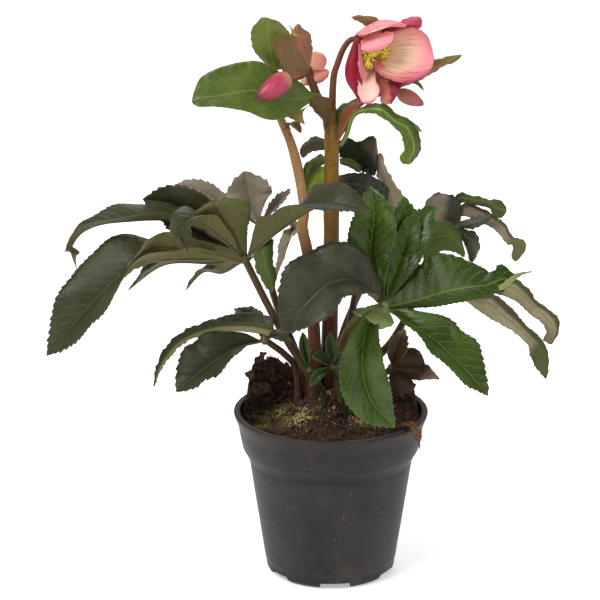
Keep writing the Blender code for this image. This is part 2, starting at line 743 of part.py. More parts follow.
def main():
    for old in list(bpy.data.objects):
        bpy.data.objects.remove(old)
    place = collection("hellebore")
    cutters = collection("cutters")
    make_pot(place, cutters)
    make_soil(place, cutters)
    for name, stalk in STALKS.items():
        make_stalk(name, stalk, place)
    for name, leaf in LEAVES.items():
        make_leaf(name, leaf, place)
    make_bloom(place)
    make_stamens(place)
    make_styles(place)
    make_half_open(place)
    for name, bud in BUDS.items():
        make_bud(name, bud, place)
    make_scrap(place)


main()
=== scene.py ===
import math
import random

import bpy
import bmesh
import numpy as np
from mathutils import Matrix, Vector, noise


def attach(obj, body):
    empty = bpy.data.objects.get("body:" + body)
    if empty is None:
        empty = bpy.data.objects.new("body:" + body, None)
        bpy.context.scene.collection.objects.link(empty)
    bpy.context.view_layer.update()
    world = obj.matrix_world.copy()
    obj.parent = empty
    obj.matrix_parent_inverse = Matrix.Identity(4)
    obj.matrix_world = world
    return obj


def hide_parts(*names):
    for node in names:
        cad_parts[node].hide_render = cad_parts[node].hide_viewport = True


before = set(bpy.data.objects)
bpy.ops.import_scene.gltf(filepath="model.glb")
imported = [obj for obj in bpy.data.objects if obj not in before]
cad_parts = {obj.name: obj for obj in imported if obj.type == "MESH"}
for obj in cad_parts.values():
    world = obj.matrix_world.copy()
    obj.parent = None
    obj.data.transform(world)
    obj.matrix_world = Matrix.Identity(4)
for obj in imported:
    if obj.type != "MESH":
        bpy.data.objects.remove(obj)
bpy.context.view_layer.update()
mm = 0.001
print("frame loaded:", len(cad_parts), "nodes")


# Shapes are worked out in millimetres, and turned to metres where a mesh is made.
def unit(v):
    v = np.asarray(v, float)
    return v / np.maximum(np.linalg.norm(v, axis=-1, keepdims=True), 1e-9)


def dot(a, b):
    return np.sum(a * b, axis=-1, keepdims=True)


def ease(value, low, high):
    t = np.clip((value - low) / (high - low), 0, 1)
    return t * t * (3 - 2 * t)


def smoothRoute(points, count):
    # evenly spaced points on a smooth curve through the given ones, and its length
    pts = np.array(points, float)
    ends = np.vstack([2 * pts[0] - pts[1], pts, 2 * pts[-1] - pts[-2]])
    fine = []
    for i in range(len(pts) - 1):
        a, b, c, d = ends[i : i + 4]
        for step in range(24):
            u = step / 24
            bend = u * (2 * a - 5 * b + 4 * c - d + u * (3 * b - a - 3 * c + d))
            fine.append(b + 0.5 * u * (c - a + bend))
    fine.append(pts[-1])
    fine = np.array(fine)
    lengths = np.concatenate([[0], np.cumsum(np.linalg.norm(np.diff(fine, axis=0), axis=1))])
    wanted = np.linspace(0, lengths[-1], count)
    return np.column_stack([np.interp(wanted, lengths, fine[:, k]) for k in range(3)]), lengths[-1]


def routeLength(points):
    return float(np.linalg.norm(np.diff(np.array(points, float), axis=0), axis=1).sum())


# A piece is gathered as grids of points. Each point also keeps where it lies on its blade or
# stem (lay: along, across and half width in mm) and which side it is on (1 is the upper side).
def startPiece():
    return {"points": [], "faces": [], "lay": [], "side": [], "tone": [], "slot": [], "count": 0}


def addPoints(piece, points, lay, side, tone):
    points = np.asarray(points, float).reshape(-1, 3)
    first = piece["count"]
    total = len(points)
    piece["points"].append(points)
    piece["lay"].append(np.broadcast_to(np.asarray(lay, float), (total, 3)).copy())
    piece["side"].append(np.broadcast_to(np.asarray(side, float), (total,)).copy())
    piece["tone"].append(np.broadcast_to(np.asarray(tone, float), (total,)).copy())
    piece["count"] += total
    return first


def addFaces(piece, faces, slot):
    faces = np.asarray(faces, int)
    if faces.shape[1] == 3:
        faces = np.column_stack([faces, np.full(len(faces), -1)])
    piece["faces"].append(faces)
    piece["slot"].append(np.full(len(faces), slot))


def gridQuads(index, flip=False):
    a, b, c, d = index[:-1, :-1], index[:-1, 1:], index[1:, 1:], index[1:, :-1]
    order = [a, d, c, b] if flip else [a, b, c, d]
    return np.stack(order, axis=-1).reshape(-1, 4)


def placeAttribute(mesh, name, kind, values):
    layer = mesh.attributes.new(name, kind, "POINT")
    layer.data.foreach_set("vector" if kind == "FLOAT_VECTOR" else "value", values.ravel())


def addToScene(name, data):
    made = bpy.data.objects.new(name, data)
    bpy.context.scene.collection.objects.link(made)
    return made


def meshFrom(made, name):
    mesh = bpy.data.meshes.new(name)
    made.to_mesh(mesh)
    made.free()
    return mesh


def buildPiece(piece, name, materials, nodeNames):
    points = np.vstack(piece["points"]) * mm
    faces = np.vstack(piece["faces"])
    sizes = np.where(faces[:, 3] < 0, 3, 4)
    corners = faces.ravel()
    corners = corners[corners >= 0]
    mesh = bpy.data.meshes.new(name)
    mesh.vertices.add(len(points))
    mesh.vertices.foreach_set("co", points.astype(np.float32).ravel())
    mesh.loops.add(len(corners))
    mesh.loops.foreach_set("vertex_index", corners.astype(np.int32))
    mesh.polygons.add(len(faces))
    starts = np.concatenate([[0], np.cumsum(sizes)[:-1]])
    mesh.polygons.foreach_set("loop_start", starts.astype(np.int32))
    mesh.polygons.foreach_set("material_index", np.concatenate(piece["slot"]).astype(np.int32))
    mesh.update(calc_edges=True)
    mesh.validate()
    placeAttribute(mesh, "lay", "FLOAT_VECTOR", np.vstack(piece["lay"]).astype(np.float32))
    placeAttribute(mesh, "side", "FLOAT", np.concatenate(piece["side"]).astype(np.float32))
    placeAttribute(mesh, "tone", "FLOAT", np.concatenate(piece["tone"]).astype(np.float32))
    mesh.shade_smooth()
    made = addToScene(name, mesh)
    for material in materials:
        mesh.materials.append(material)
    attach(made, "root")
    if nodeNames:
        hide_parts(*nodeNames)
    print("  ", name, len(faces), "faces")
    return made


# Tubes, blades and small bodies
def addTube(piece, route, radii, slot, tone=0.5, sides=16, step=2.0, wobble=0.0, seed=0):
    # radii is given at even parts of the route, and the tube swells smoothly from one to the next
    rows = max(4, int(routeLength(route) / step) + 1)
    centre, length = smoothRoute(route, rows)
    ahead = unit(np.gradient(centre, axis=0))
    across = np.zeros_like(ahead)
    start = np.cross(ahead[0], (0, 1, 0.2))
    across[0] = unit(start)
    for row in range(1, rows):
        across[row] = unit(across[row - 1] - dot(across[row - 1], ahead[row]) * ahead[row])
    other = np.cross(ahead, across)
    s = np.linspace(0, 1, rows)
    radius = np.interp(s, np.linspace(0, 1, len(radii)), radii)
    angle = np.linspace(0, 2 * math.pi, sides, endpoint=False)
    ripple = np.ones((rows, sides))
    if wobble:
        for row in range(rows):
            for k in range(sides):
                spot = Vector((math.cos(angle[k]), math.sin(angle[k]), centre[row][2] * 0.05 + seed))
                ripple[row, k] += wobble * noise.noise(spot * 1.7)
    swell = (radius[:, None] * ripple)[..., None]
    grid = centre[:, None, :] + swell * np.cos(angle)[None, :, None] * across[:, None, :]
    grid = grid + swell * np.sin(angle)[None, :, None] * other[:, None, :]
    lay = np.zeros((rows, sides, 3))
    lay[..., 0] = s[:, None] * length
    lay[..., 1] = np.cos(angle)[None, :] * radius[:, None]
    lay[..., 2] = radius[:, None]
    first = addPoints(piece, grid, lay.reshape(-1, 3), 1, tone)
    index = first + np.arange(rows * sides).reshape(rows, sides)
    addFaces(piece, gridQuads(np.hstack([index, index[:, :1]])), slot)
    for row, turned in ((0, True), (rows - 1, False)):
        tip = addPoints(piece, centre[row : row + 1], (s[row] * length, 0, 0.1), 1, tone)
        fan = np.column_stack([index[row], np.roll(index[row], -1), np.full(sides, tip)])
        addFaces(piece, fan[:, ::-1] if turned else fan, slot)


def joinEdges(piece, top, under, slot, turned=False):
    # closes the rim between the upper and the lower skin
    ring, below = [np.concatenate([g[0], g[1:, -1], g[-1, -2::-1], g[-2:0:-1, 0]]) for g in (top, under)]
    sides = np.column_stack([ring, below, np.roll(below, -1), np.roll(ring, -1)])
    addFaces(piece, sides[:, ::-1] if turned else sides, slot)


def widthAlong(s, shape):
    rise, fall = shape
    top = rise / (rise + fall)
    peak = top**rise * (1 - top) ** fall
    return np.power(s, rise) * np.power(1 - s, fall) / peak


# How blades are drawn. Teeth and veins are in mm, angles in degrees.
leafletForm = {
    "shape": (1.3, 1.02),
    "fold": 42,
    "foldAtTip": 0.45,
    "arch": 0.5,  # how much steeper a half is by the midrib than at its margin
    "toothEvery": 4.0,
    "toothDepth": 1.75,
    "toothFrom": 0.22,
    "veinEvery": 7.5,
    "veinLean": 0.75,
    "veinCurve": 0.55,
    "quilt": 0.5,
    "wave": 0.09,
    "waves": 3.3,
    "crinkle": 0.55,
    "thick": 0.36,
    "ribRadius": 1.0,
    "base": 1.5,
    "rowStep": 0.85,
    "halfCols": 9,
}
bractForm = dict(
    leafletForm, shape=(0.95, 0.68), fold=20, toothEvery=4.5, toothDepth=0.5, toothFrom=0.45, veinEvery=9,
    veinLean=1.3, veinCurve=0.3, quilt=0.4, wave=0.1, waves=2.2, ribRadius=0.7, base=2.4,
)
sepalForm = dict(
    leafletForm, shape=(0.52, 0.34), fold=20, foldAtTip=0.7, arch=-0.7, toothDepth=0, veinEvery=5,
    veinLean=3.2, veinCurve=0.0, quilt=0.12, wave=0.05, waves=2.2, thick=0.3, ribRadius=0, base=2.5,
    rowStep=0.9, halfCols=14,
)


def addBlade(piece, route, width, face, form, slot, ribSlot=None, seed=0):
    # a thin leaf: upper and lower skins over one midrib, with teeth, veins and waves
    dice = random.Random(seed)
    length = routeLength(route)
    rows = max(14, int(length / form["rowStep"]))
    centre, length = smoothRoute(route, rows)
    s = np.linspace(0, 1, rows)
    ahead = unit(np.gradient(centre, axis=0))
    if isinstance(face[0], tuple):
        normal = np.array(face[0]) * (1 - s[:, None]) + np.array(face[1]) * s[:, None]
    else:
        normal = np.tile(np.array(face, float), (rows, 1))
    normal = unit(normal - dot(normal, ahead) * ahead)
    side = np.cross(ahead, normal)
    half = 0.5 * width * widthAlong(s, form["shape"])
    half = np.maximum(half, 0.5 * form["base"] * (1 - s) + 0.12)
    lean = np.radians(form["fold"] * (1 - s * (1 - form["foldAtTip"])))

    n = form["halfCols"]
    tau = (np.arange(n + 1) / n) ** 1.2
    middle = 0.5 * (tau[1:] + tau[:-1])
    theta = lean[:, None] * (1 + form["arch"] * (0.5 - middle[None, :]) * 2)
    steps = np.diff(tau)[None, :]
    zero = np.zeros((rows, 1))
    out = np.hstack([zero, np.cumsum(np.cos(theta) * steps, axis=1)])
    rise = np.hstack([zero, np.cumsum(np.sin(theta) * steps, axis=1)])

    def oneHalf(sign):
        along = s * length
        phase = dice.random() * 6.3
        toothPlace = along / form["toothEvery"] + dice.random()
        tooth = toothPlace % 1
        strength = ease(s, form["toothFrom"] - 0.08, form["toothFrom"] + 0.12) * ease(s, 1.0, 0.93)
        strength = strength * (0.75 + 0.5 * noiseLine(toothPlace // 1, seed + sign))
        edge = tau[None, :] ** 7
        reach = form["toothDepth"] * (strength * (tooth - 0.45))[:, None] * edge
        forward = form["toothDepth"] * 0.9 * (strength * tooth)[:, None] * edge
        d = tau[None, :] * half[:, None]
        vein = along[:, None] - form["veinLean"] * d - form["veinCurve"] * d**2 / half[:, None]
        vein = vein / form["veinEvery"] + (0.5 if sign < 0 else 0)
        ridge = np.abs(np.sin(math.pi * vein)) ** 0.8
        calm = ease(s, 0.0, 0.18)[:, None] * (1 - tau[None, :] ** 4) * ease(d, 0.0, 2.5)
        quilt = form["quilt"] * (ridge - 0.6) * calm * np.minimum(1, half[:, None] / 12)
        wave = form["wave"] * half[:, None] * tau[None, :] ** 2
        wave = wave * np.sin(2 * math.pi * form["waves"] * s + phase)[:, None]
        wave = wave + 0.5 * wave * np.sin(4.7 * math.pi * s + 2 * phase)[:, None]
        fold1 = np.sin(along[:, None] / 8.3 + phase + d / 11) * np.sin(d / 5.1 + 2 * phase)
        fold2 = np.sin(along[:, None] / 4.6 - d / 3.9 + 3 * phase)
        crinkle = form["crinkle"] * (fold1 + 0.5 * fold2) * tau[None, :]
        wave = wave + crinkle * np.minimum(1, half[:, None] / 9)
        spot = centre[:, None, :] + sign * side[:, None, :] * (half[:, None] * out + reach)[..., None]
        spot = spot + normal[:, None, :] * (half[:, None] * rise + wave + quilt)[..., None]
        spot = spot + ahead[:, None, :] * forward[..., None]
        return spot, np.stack(np.broadcast_arrays(along[:, None], sign * d, half[:, None]), -1)

    left, leftLay = oneHalf(-1)
    right, rightLay = oneHalf(1)
    grid = np.concatenate([left[:, ::-1], right[:, 1:]], axis=1)
    lay = np.concatenate([leftLay[:, ::-1], rightLay[:, 1:]], axis=1)
    t = np.concatenate([-tau[::-1], tau[1:]])
    # true surface normals, so that the two skins stay evenly apart on steep halves
    du = np.gradient(grid, axis=0)
    dv = np.gradient(grid, axis=1)
    up = unit(np.cross(dv, du))
    thick = form["thick"] * (1 - 0.65 * np.abs(t) ** 3)
    groove = 0.35 * np.exp(-((lay[..., 1] / 1.1) ** 2)) * (1 - 0.6 * s[:, None])
    tone = dice.random()
    flat = lay.reshape(-1, 3)
    count = np.arange(len(flat)).reshape(rows, -1)
    top = addPoints(piece, grid + up * (thick[None, :] - groove)[..., None], flat, 1, tone) + count
    under = addPoints(piece, grid - up * thick[None, :, None], flat, 0, tone) + count
    addFaces(piece, gridQuads(top), slot)
    addFaces(piece, gridQuads(under, flip=True), slot)
    joinEdges(piece, top, under, slot)
    if ribSlot is not None and form["ribRadius"]:
        every = max(2, rows // 24)
        below = 0.25 + 0.25 * form["ribRadius"] * (1 - s[:, None])
        ribRoute = (centre - normal * below)[: int(rows * 0.9) : every]
        r = form["ribRadius"] * min(1.2, 0.5 + length / 120)
        addTube(piece, ribRoute, [r, 0.75 * r, 0.5 * r, 0.3 * r, 0.15 * r], ribSlot, tone, 8, 2.5)
    return centre


def spread(points, count):
    # evenly spaced points on smooth curves down the rows
    ends = np.concatenate([[2 * points[0] - points[1]], points, [2 * points[-1] - points[-2]]])
    t = np.linspace(0, len(points) - 1, count)
    i = np.minimum(t.astype(int), len(points) - 2)
    u = (t - i)[:, None, None]
    a, b, c, d = ends[i], ends[i + 1], ends[i + 2], ends[i + 3]
    return b + 0.5 * u * (c - a + u * (2 * a - 5 * b + 4 * c - d + u * (3 * b - a - 3 * c + d)))


def addSheet(
    piece, rows, slot, towards, seed=0, thick=0.3, fine=(40, 40), taper=0.72, ruffle=0.35, tone=None,
    form=None,
):
    # a thin sheet through rows of points from its base to its tip, its inner face towards a point
    grid = spread(np.array(rows, float), fine[0])
    grid = spread(grid.swapaxes(0, 1), fine[1]).swapaxes(0, 1)
    s = np.linspace(0, 1, fine[0])
    t = np.linspace(-1, 1, fine[1])
    reach = np.clip((s - taper) / (1 - taper), 0, 1)
    width = np.maximum((1 - reach**2.6) ** (1 / 2.6), 0.04)
    col = (0.5 + 0.5 * t[None, :] * width[:, None]) * (fine[1] - 1)
    low = np.minimum(col.astype(int), fine[1] - 2)
    part = (col - low)[..., None]
    row = np.arange(fine[0])[:, None]
    grid = grid[row, low] * (1 - part) + grid[row, low + 1] * part
    up = unit(np.cross(np.gradient(grid, axis=1), np.gradient(grid, axis=0)))
    middle = grid[fine[0] // 2, fine[1] // 2]
    turned = float(np.dot(up[fine[0] // 2, fine[1] // 2], np.array(towards, float) - middle)) < 0
    if turned:
        up = -up
    along = np.concatenate([[0], np.cumsum(np.linalg.norm(np.diff(grid[:, fine[1] // 2], axis=0), axis=1))])
    half = 0.5 * np.linalg.norm(np.diff(grid, axis=1), axis=2).sum(axis=1)
    frill = ruffle * np.abs(t[None, :]) ** 5 * ease(s, 0.15, 0.4)[:, None]
    frill = frill * (np.sin(along / 1.9 + seed) + 0.7 * np.sin(along / 0.83 + 2 * seed))[:, None]
    lift = 0.5 * ruffle * ease(s, 0.8, 1.0)[:, None] * np.sin(9 * t[None, :] + seed)
    grid = grid + up * (frill + lift)[..., None]
    if form:
        # teeth on both margins, and the blade raised between its side veins
        outward = unit(np.gradient(grid, axis=1))
        place = along / form["toothEvery"] + 0.37 * seed
        strength = form["toothDepth"] * ease(s, 0.1, 0.25) * (0.75 + 0.5 * noiseLine(place // 1, seed))
        tooth = (strength * (place % 1 - 0.4))[:, None] * np.abs(t[None, :]) ** 9 * np.sign(t)[None, :]
        grid = grid + outward * tooth[..., None]
        d = np.abs(t)[None, :] * half[:, None]
        vein = (along[:, None] - form["veinLean"] * d) / form["veinEvery"] + 0.5 * (t[None, :] < 0)
        calm = (1 - np.abs(t[None, :]) ** 4) * ease(d, 0.0, 2.0) * np.minimum(1, half / 9)[:, None]
        grid = grid + up * (form["quilt"] * (np.abs(np.sin(math.pi * vein)) ** 0.8 - 0.6) * calm)[..., None]
    lay = np.stack(np.broadcast_arrays(along[:, None], t[None, :] * half[:, None], half[:, None]), -1)
    flat = lay.reshape(-1, 3)
    thin = thick * (1 - 0.5 * np.abs(t) ** 3)[None, :, None]
    shade = np.repeat(s, fine[1]) if tone is None else tone
    count = np.arange(fine[0] * fine[1]).reshape(fine)
    top = addPoints(piece, grid + 0.5 * up * thin, flat, 1, shade) + count
    under = addPoints(piece, grid - 0.5 * up * thin, flat, 0, shade) + count
    addFaces(piece, gridQuads(top, flip=turned), slot)
    addFaces(piece, gridQuads(under, flip=not turned), slot)
    joinEdges(piece, top, under, slot, turned)


def noiseLine(values, seed):
    spots = [Vector((float(v) * 0.77, seed * 1.31, 0.5)) for v in np.atleast_1d(values)]
    return np.array([noise.noise(spot) for spot in spots])


# Finishes. Each is made of nodes, from the places on the blade and from noise.
def newFinish(name, roughness=0.5, **sockets):
    material = bpy.data.materials.new(name)
    material.use_nodes = True
    shader = material.node_tree.nodes["Principled BSDF"]
    shader.inputs["Roughness"].default_value = roughness
    for socket, value in sockets.items():
        shader.inputs[socket.replace("_", " ")].default_value = value
    return material, material.node_tree, shader


def put(tree, kind, inputs=None, **settings):
    made = tree.nodes.new(kind)
    for key, value in settings.items():
        setattr(made, key, value)
    for key, value in (inputs or {}).items():
        if isinstance(value, bpy.types.NodeSocket):
            tree.links.new(value, made.inputs[key])
        else:
            made.inputs[key].default_value = value
    return made


def calc(tree, operation, *values):
    return put(tree, "ShaderNodeMath", dict(enumerate(values)), operation=operation).outputs[0]


def span(tree, value, low, high, start=0.0, end=1.0):
    wanted = {"Value": value, "From Min": low, "From Max": high, "To Min": start, "To Max": end}
    return put(tree, "ShaderNodeMapRange", wanted, interpolation_type="SMOOTHSTEP").outputs[0]


def colour(rgb):
    # a colour as seen on screen, 0 to 255, as the shader wants it
    return (*[((c / 255 + 0.055) / 1.055) ** 2.4 if c > 10 else c / 255 / 12.92 for c in rgb], 1)


def blend(tree, part, first, second):
    made = put(tree, "ShaderNodeMix", data_type="RGBA")
    for key, value in ((0, part), (6, first), (7, second)):
        if isinstance(value, bpy.types.NodeSocket):
            tree.links.new(value, made.inputs[key])
        else:
            made.inputs[key].default_value = colour(value) if key else value
    return made.outputs[2]


def place(tree):
    return put(tree, "ShaderNodeTexCoord").outputs["Object"]


def kept(tree, name):
    # what each point keeps: its place on its blade (lay), its side or its tone
    made = put(tree, "ShaderNodeAttribute", attribute_name=name)
    return made.outputs["Vector" if name == "lay" else "Fac"]


def parts(tree, vector):
    return put(tree, "ShaderNodeSeparateXYZ", {"Vector": vector}).outputs


def drawnOut(tree, where, scale, turn=(0, 0, 0)):
    return put(tree, "ShaderNodeMapping", {"Vector": where, "Scale": scale, "Rotation": turn}).outputs[0]


def cloud(tree, scale, detail=3.0, roughness=0.55, where=None):
    inputs = {"Scale": scale, "Detail": detail, "Roughness": roughness, "Vector": where or place(tree)}
    return put(tree, "ShaderNodeTexNoise", inputs).outputs[0]


def cells(tree, scale, where=None, feature="F1"):
    inputs = {"Scale": scale, "Vector": where or place(tree)}
    return put(tree, "ShaderNodeTexVoronoi", inputs, feature=feature).outputs["Distance"]


def relief(tree, shader, height, depth, strength=1.0):
    bump = put(tree, "ShaderNodeBump", {"Height": height, "Distance": depth * mm, "Strength": strength})
    tree.links.new(bump.outputs[0], shader.inputs["Normal"])


def bladeFinish(name, look, form):
    # each face is mottled between two colours, with veins in a third and its own roughness
    material, tree, shader = newFinish(name, look["gloss"], **look.get("sockets", {}))
    lay = kept(tree, "lay")
    side = kept(tree, "side")
    tone = kept(tree, "tone")
    along, across, half = parts(tree, lay)[:]
    d = calc(tree, "ABSOLUTE", across)
    drift = calc(tree, "MULTIPLY", calc(tree, "SUBTRACT", cloud(tree, 0.16, 2, where=lay), 0.5), 4.0)
    lean = calc(tree, "MULTIPLY", d, form["veinLean"])
    share = calc(tree, "DIVIDE", d, half)
    curve = calc(tree, "MULTIPLY", calc(tree, "MULTIPLY", d, share), form["veinCurve"])
    start = calc(tree, "SUBTRACT", calc(tree, "SUBTRACT", along, lean), curve)
    start = calc(tree, "DIVIDE", calc(tree, "ADD", start, drift), form["veinEvery"])
    start = calc(tree, "ADD", start, calc(tree, "MULTIPLY", calc(tree, "LESS_THAN", across, 0.0), 0.5))
    away = calc(tree, "MULTIPLY", calc(tree, "PINGPONG", start, 0.5), form["veinEvery"])
    fade = span(tree, share, 0.7, 1.0, 1, 0.15)
    lateral = calc(tree, "MULTIPLY", span(tree, away, 0.12, 0.5, 1, 0), fade)
    midrib = span(tree, d, look.get("midrib", 0.4), look.get("midrib", 0.4) + 0.5, 1, 0)
    net = span(tree, cells(tree, look.get("net", 0.42), lay, "DISTANCE_TO_EDGE"), 0.02, 0.12, 1, 0)
    fine = calc(tree, "MULTIPLY", net, look.get("netShare", 0.35))
    veins = calc(tree, "MAXIMUM", calc(tree, "MAXIMUM", lateral, midrib), fine)
    mottle = span(tree, cloud(tree, look.get("mottleScale", 55), 4), 0.35, 0.68)
    shade = calc(tree, "MULTIPLY_ADD", tone, 0.5, calc(tree, "MULTIPLY", mottle, 0.6))
    upper = blend(tree, shade, look["upper"], look["upperToo"])
    upper = blend(tree, calc(tree, "MULTIPLY", veins, look.get("veinShare", 0.6)), upper, look["vein"])
    lower = blend(tree, shade, look["lower"], look["lowerToo"])
    under = calc(tree, "MULTIPLY", veins, look.get("lowerVeinShare", 0.5))
    lower = blend(tree, under, lower, look["lowerVein"])
    both = blend(tree, side, lower, upper)
    if "band" in look:
        # one side of the blade in another colour, where it is turned over or lies in shade
        start, end, most = look["bandAt"]
        sway = calc(tree, "MULTIPLY_ADD", cloud(tree, 60, 3), 0.5, -0.25)
        signed = calc(tree, "ADD", calc(tree, "DIVIDE", across, half), sway)
        both = blend(tree, span(tree, signed, start, end, 0, most), both, look["band"])
    rim = span(tree, calc(tree, "SUBTRACT", half, d), look.get("rimWidth", 0.7), 0.0, 0, 0.6)
    both = blend(tree, rim, both, look["margin"])
    if "tip" in look:
        reach = calc(tree, "ADD", along, span(tree, cloud(tree, 40, 3), 0.3, 0.7, -8, 8))
        tipped = span(tree, reach, look["tipFrom"], look["tipTo"], 0, look.get("tipShare", 1))
        both = blend(tree, tipped, both, look["tip"])
    tree.links.new(both, shader.inputs["Base Color"])
    wanted = {"Value": side, "To Min": look["underGloss"], "To Max": look["gloss"]}
    rough = put(tree, "ShaderNodeMapRange", wanted)
    patchy = calc(tree, "MULTIPLY_ADD", calc(tree, "SUBTRACT", mottle, 0.5), 0.12, rough.outputs[0])
    tree.links.new(patchy, shader.inputs["Roughness"])
    grain = calc(tree, "MULTIPLY", cloud(tree, 900, 2), 0.25)
    height = calc(tree, "SUBTRACT", grain, calc(tree, "MULTIPLY", veins, 0.8))
    relief(tree, shader, height, 0.35, 0.55)
    return material


def stemFinish(name, low, high, flecks, fleckShare, split=(0.16, 0.26), gloss=0.42, groove=None):
    # a stem, from its colour low down to its colour above, with flecks drawn out along it
    material, tree, shader = newFinish(name, gloss, Specular_IOR_Level=0.22)
    where = place(tree)
    height = parts(tree, where)[2]
    wander = calc(tree, "MULTIPLY_ADD", cloud(tree, 60, 3), 0.05, height)
    # low colour below, high colour above; on the main stem the dark low colour is partly painted shade
    body = blend(tree, span(tree, wander, split[0] + 0.025, split[1] + 0.025), low, high)
    longWays = drawnOut(tree, where, (1, 1, 0.7))
    fleck = span(tree, cloud(tree, 1500, 3, 0.6, longWays), 0.46, 0.62)
    body = blend(tree, calc(tree, "MULTIPLY", fleck, fleckShare), body, flecks)
    streaks = drawnOut(tree, where, (1, 1, 0.06))
    dark = span(tree, cloud(tree, 420, 2, 0.5, streaks), 0.5, 0.75, 0, 0.4)
    body = blend(tree, dark, body, groove or low)
    tree.links.new(body, shader.inputs["Base Color"])
    relief(tree, shader, calc(tree, "ADD", cloud(tree, 700, 2, 0.5, longWays), fleck), 0.15, 0.4)
    return material


def plainFinish(name, first, second, scale, gloss=0.5, depth=0.1, bumpScale=None, **sockets):
    # two shades of one thing, mottled
    material, tree, shader = newFinish(name, gloss, **sockets)
    tone = kept(tree, "tone")
    part = span(tree, cloud(tree, scale, 4), 0.35, 0.65)
    part = calc(tree, "MULTIPLY_ADD", tone, 0.6, calc(tree, "MULTIPLY", part, 0.4))
    tree.links.new(blend(tree, part, first, second), shader.inputs["Base Color"])
    relief(tree, shader, cloud(tree, bumpScale or scale * 4, 3), depth, 0.6)
    return material


# Camera, floor and light
view = {"place": (-20.7, -2068.6, 861.9), "tilt": 72, "lens": 196.7, "sensor": 36}


def makeView():
    camera = addToScene("camera", bpy.data.cameras.new("camera"))
    camera.location = Vector(view["place"]) * mm
    camera.rotation_euler = (math.radians(view["tilt"]), 0, 0)
    camera.data.lens = view["lens"]
    camera.data.sensor_width = view["sensor"]
    bpy.context.scene.camera = camera
    bpy.context.scene.view_settings.view_transform = "Standard"


studio = {
    "sky": 0.38,
    "floorSize": 9.0,
    "floorGlow": 0.4,
    "lamps": [
        # place, size (m), power, colour
        ((-0.9, -0.9, 1.7), 0.9, 28, (1, 0.985, 0.96)),
        ((1.3, -0.8, 1.2), 0.8, 6, (0.98, 0.99, 1)),
        ((0.1, 1.2, 1.5), 1.2, 12, (1, 1, 1)),
    ],
    "aim": (0, 0, 0.22),
}


def makeStudio():
    world = bpy.data.worlds.new("studio sky")
    bpy.context.scene.world = world
    world.use_nodes = True
    sky = world.node_tree.nodes["Background"].inputs
    sky["Color"].default_value = (1, 1, 1, 1)
    sky["Strength"].default_value = studio["sky"]
    for spot, size, power, tint in studio["lamps"]:
        lamp = addToScene("soft box", bpy.data.lights.new("soft box", "AREA"))
        lamp.location = spot
        lamp.rotation_euler = (Vector(studio["aim"]) - Vector(spot)).to_track_quat("-Z", "Y").to_euler()
        lamp.data.size = size
        lamp.data.energy = power
        lamp.data.color = tint
    made = bmesh.new()
    bmesh.ops.create_grid(made, x_segments=1, y_segments=1, size=studio["floorSize"] / 2)
    floor = addToScene("floor", meshFrom(made, "floor"))
    material, tree, shader = newFinish("pale paper", 0.7)
    shade = blend(tree, cloud(tree, 30, 2), (250, 250, 250), (253, 253, 253))
    tree.links.new(shade, shader.inputs["Base Color"])
    shader.inputs["Emission Color"].default_value = (1, 1, 1, 1)
    shader.inputs["Emission Strength"].default_value = studio["floorGlow"]
    floor.data.materials.append(material)


makeView()
makeStudio()
print("camera, floor and light set")


# Leaves. Each stands on a foot in the soil, and its stalk runs on to the hub of its leaflets.
# A leaflet is its width, the way its upper face looks (None is upwards, a pair is at its base
# and its tip) and its midrib from the hub to the tip. A sheet is its look, the face that shows,
# where its tip begins to narrow and rows of points from its base to its tip.
front = (0, -1, 0.25)
frontUp = (0, -0.6, 0.8)
back = (0, 1, 0.2)
upward = (0, 0, 1)
inFront, behind = (0, -2000, 800), (0, 2000, -400)  # far points a face looks to
footTop, footBelow = 130, 104  # heights between which a stalk stands upright in the soil

oldLook = {
    "upper": (34, 43, 20), "upperToo": (60, 62, 38), "vein": (92, 98, 60), "lower": (82, 90, 44),
    "lowerToo": (98, 92, 56), "lowerVein": (70, 40, 28), "margin": (92, 66, 40), "gloss": 0.42,
    "underGloss": 0.65, "veinShare": 0.3, "netShare": 0.3, "lowerVeinShare": 0.4,
    "sockets": {"Specular_IOR_Level": 0.24},
}
greyLook = dict(
    oldLook, upper=(116, 106, 94), upperToo=(146, 136, 118), vein=(158, 150, 130), lower=(128, 118, 96),
    lowerToo=(108, 98, 80), gloss=0.6,
)
newLook = dict(
    oldLook, upper=(22, 38, 3), upperToo=(54, 78, 8), vein=(100, 126, 38), lower=(128, 142, 76),
    lowerToo=(104, 124, 52), lowerVein=(160, 172, 120), margin=(70, 98, 32), gloss=0.32, underGloss=0.5,
    netShare=0.3, veinShare=0.55,
    sockets={"Specular_IOR_Level": 0.3, "Coat_Weight": 0.05, "Coat_Roughness": 0.12},
)
oldFrontLook = dict(oldLook, upper=(28, 32, 20), upperToo=(68, 68, 52), veinShare=0.2, gloss=0.34)
brightLook = dict(
    newLook, upper=(17, 31, 5), upperToo=(44, 64, 10), gloss=0.36, teeth=1.5, mottleScale=34,
    sockets={"Specular_IOR_Level": 0.2},
)
paleGreenLook = dict(
    newLook, upper=(122, 130, 76), upperToo=(150, 150, 102), lower=(104, 128, 60),
    lowerToo=(142, 150, 92), teeth=0.8,
)
underLook = dict(
    oldLook, lower=(84, 98, 44), lowerToo=(104, 96, 62), lowerVein=(84, 44, 32), lowerVeinShare=0.55,
    margin=(128, 120, 84), midrib=0.55,
)
rimmedLook = dict(
    oldLook, upper=(44, 52, 26), upperToo=(72, 74, 44), band=(134, 130, 90), bandAt=(0.15, 0.5, 0.95),
    margin=(92, 66, 40),
)
mossyLook = dict(
    underLook, lower=(54, 74, 22), lowerToo=(80, 94, 38), lowerVein=(96, 106, 52), lowerVeinShare=0.4,
    band=(34, 46, 14), bandAt=(0.1, 1.1, 0.6),
)
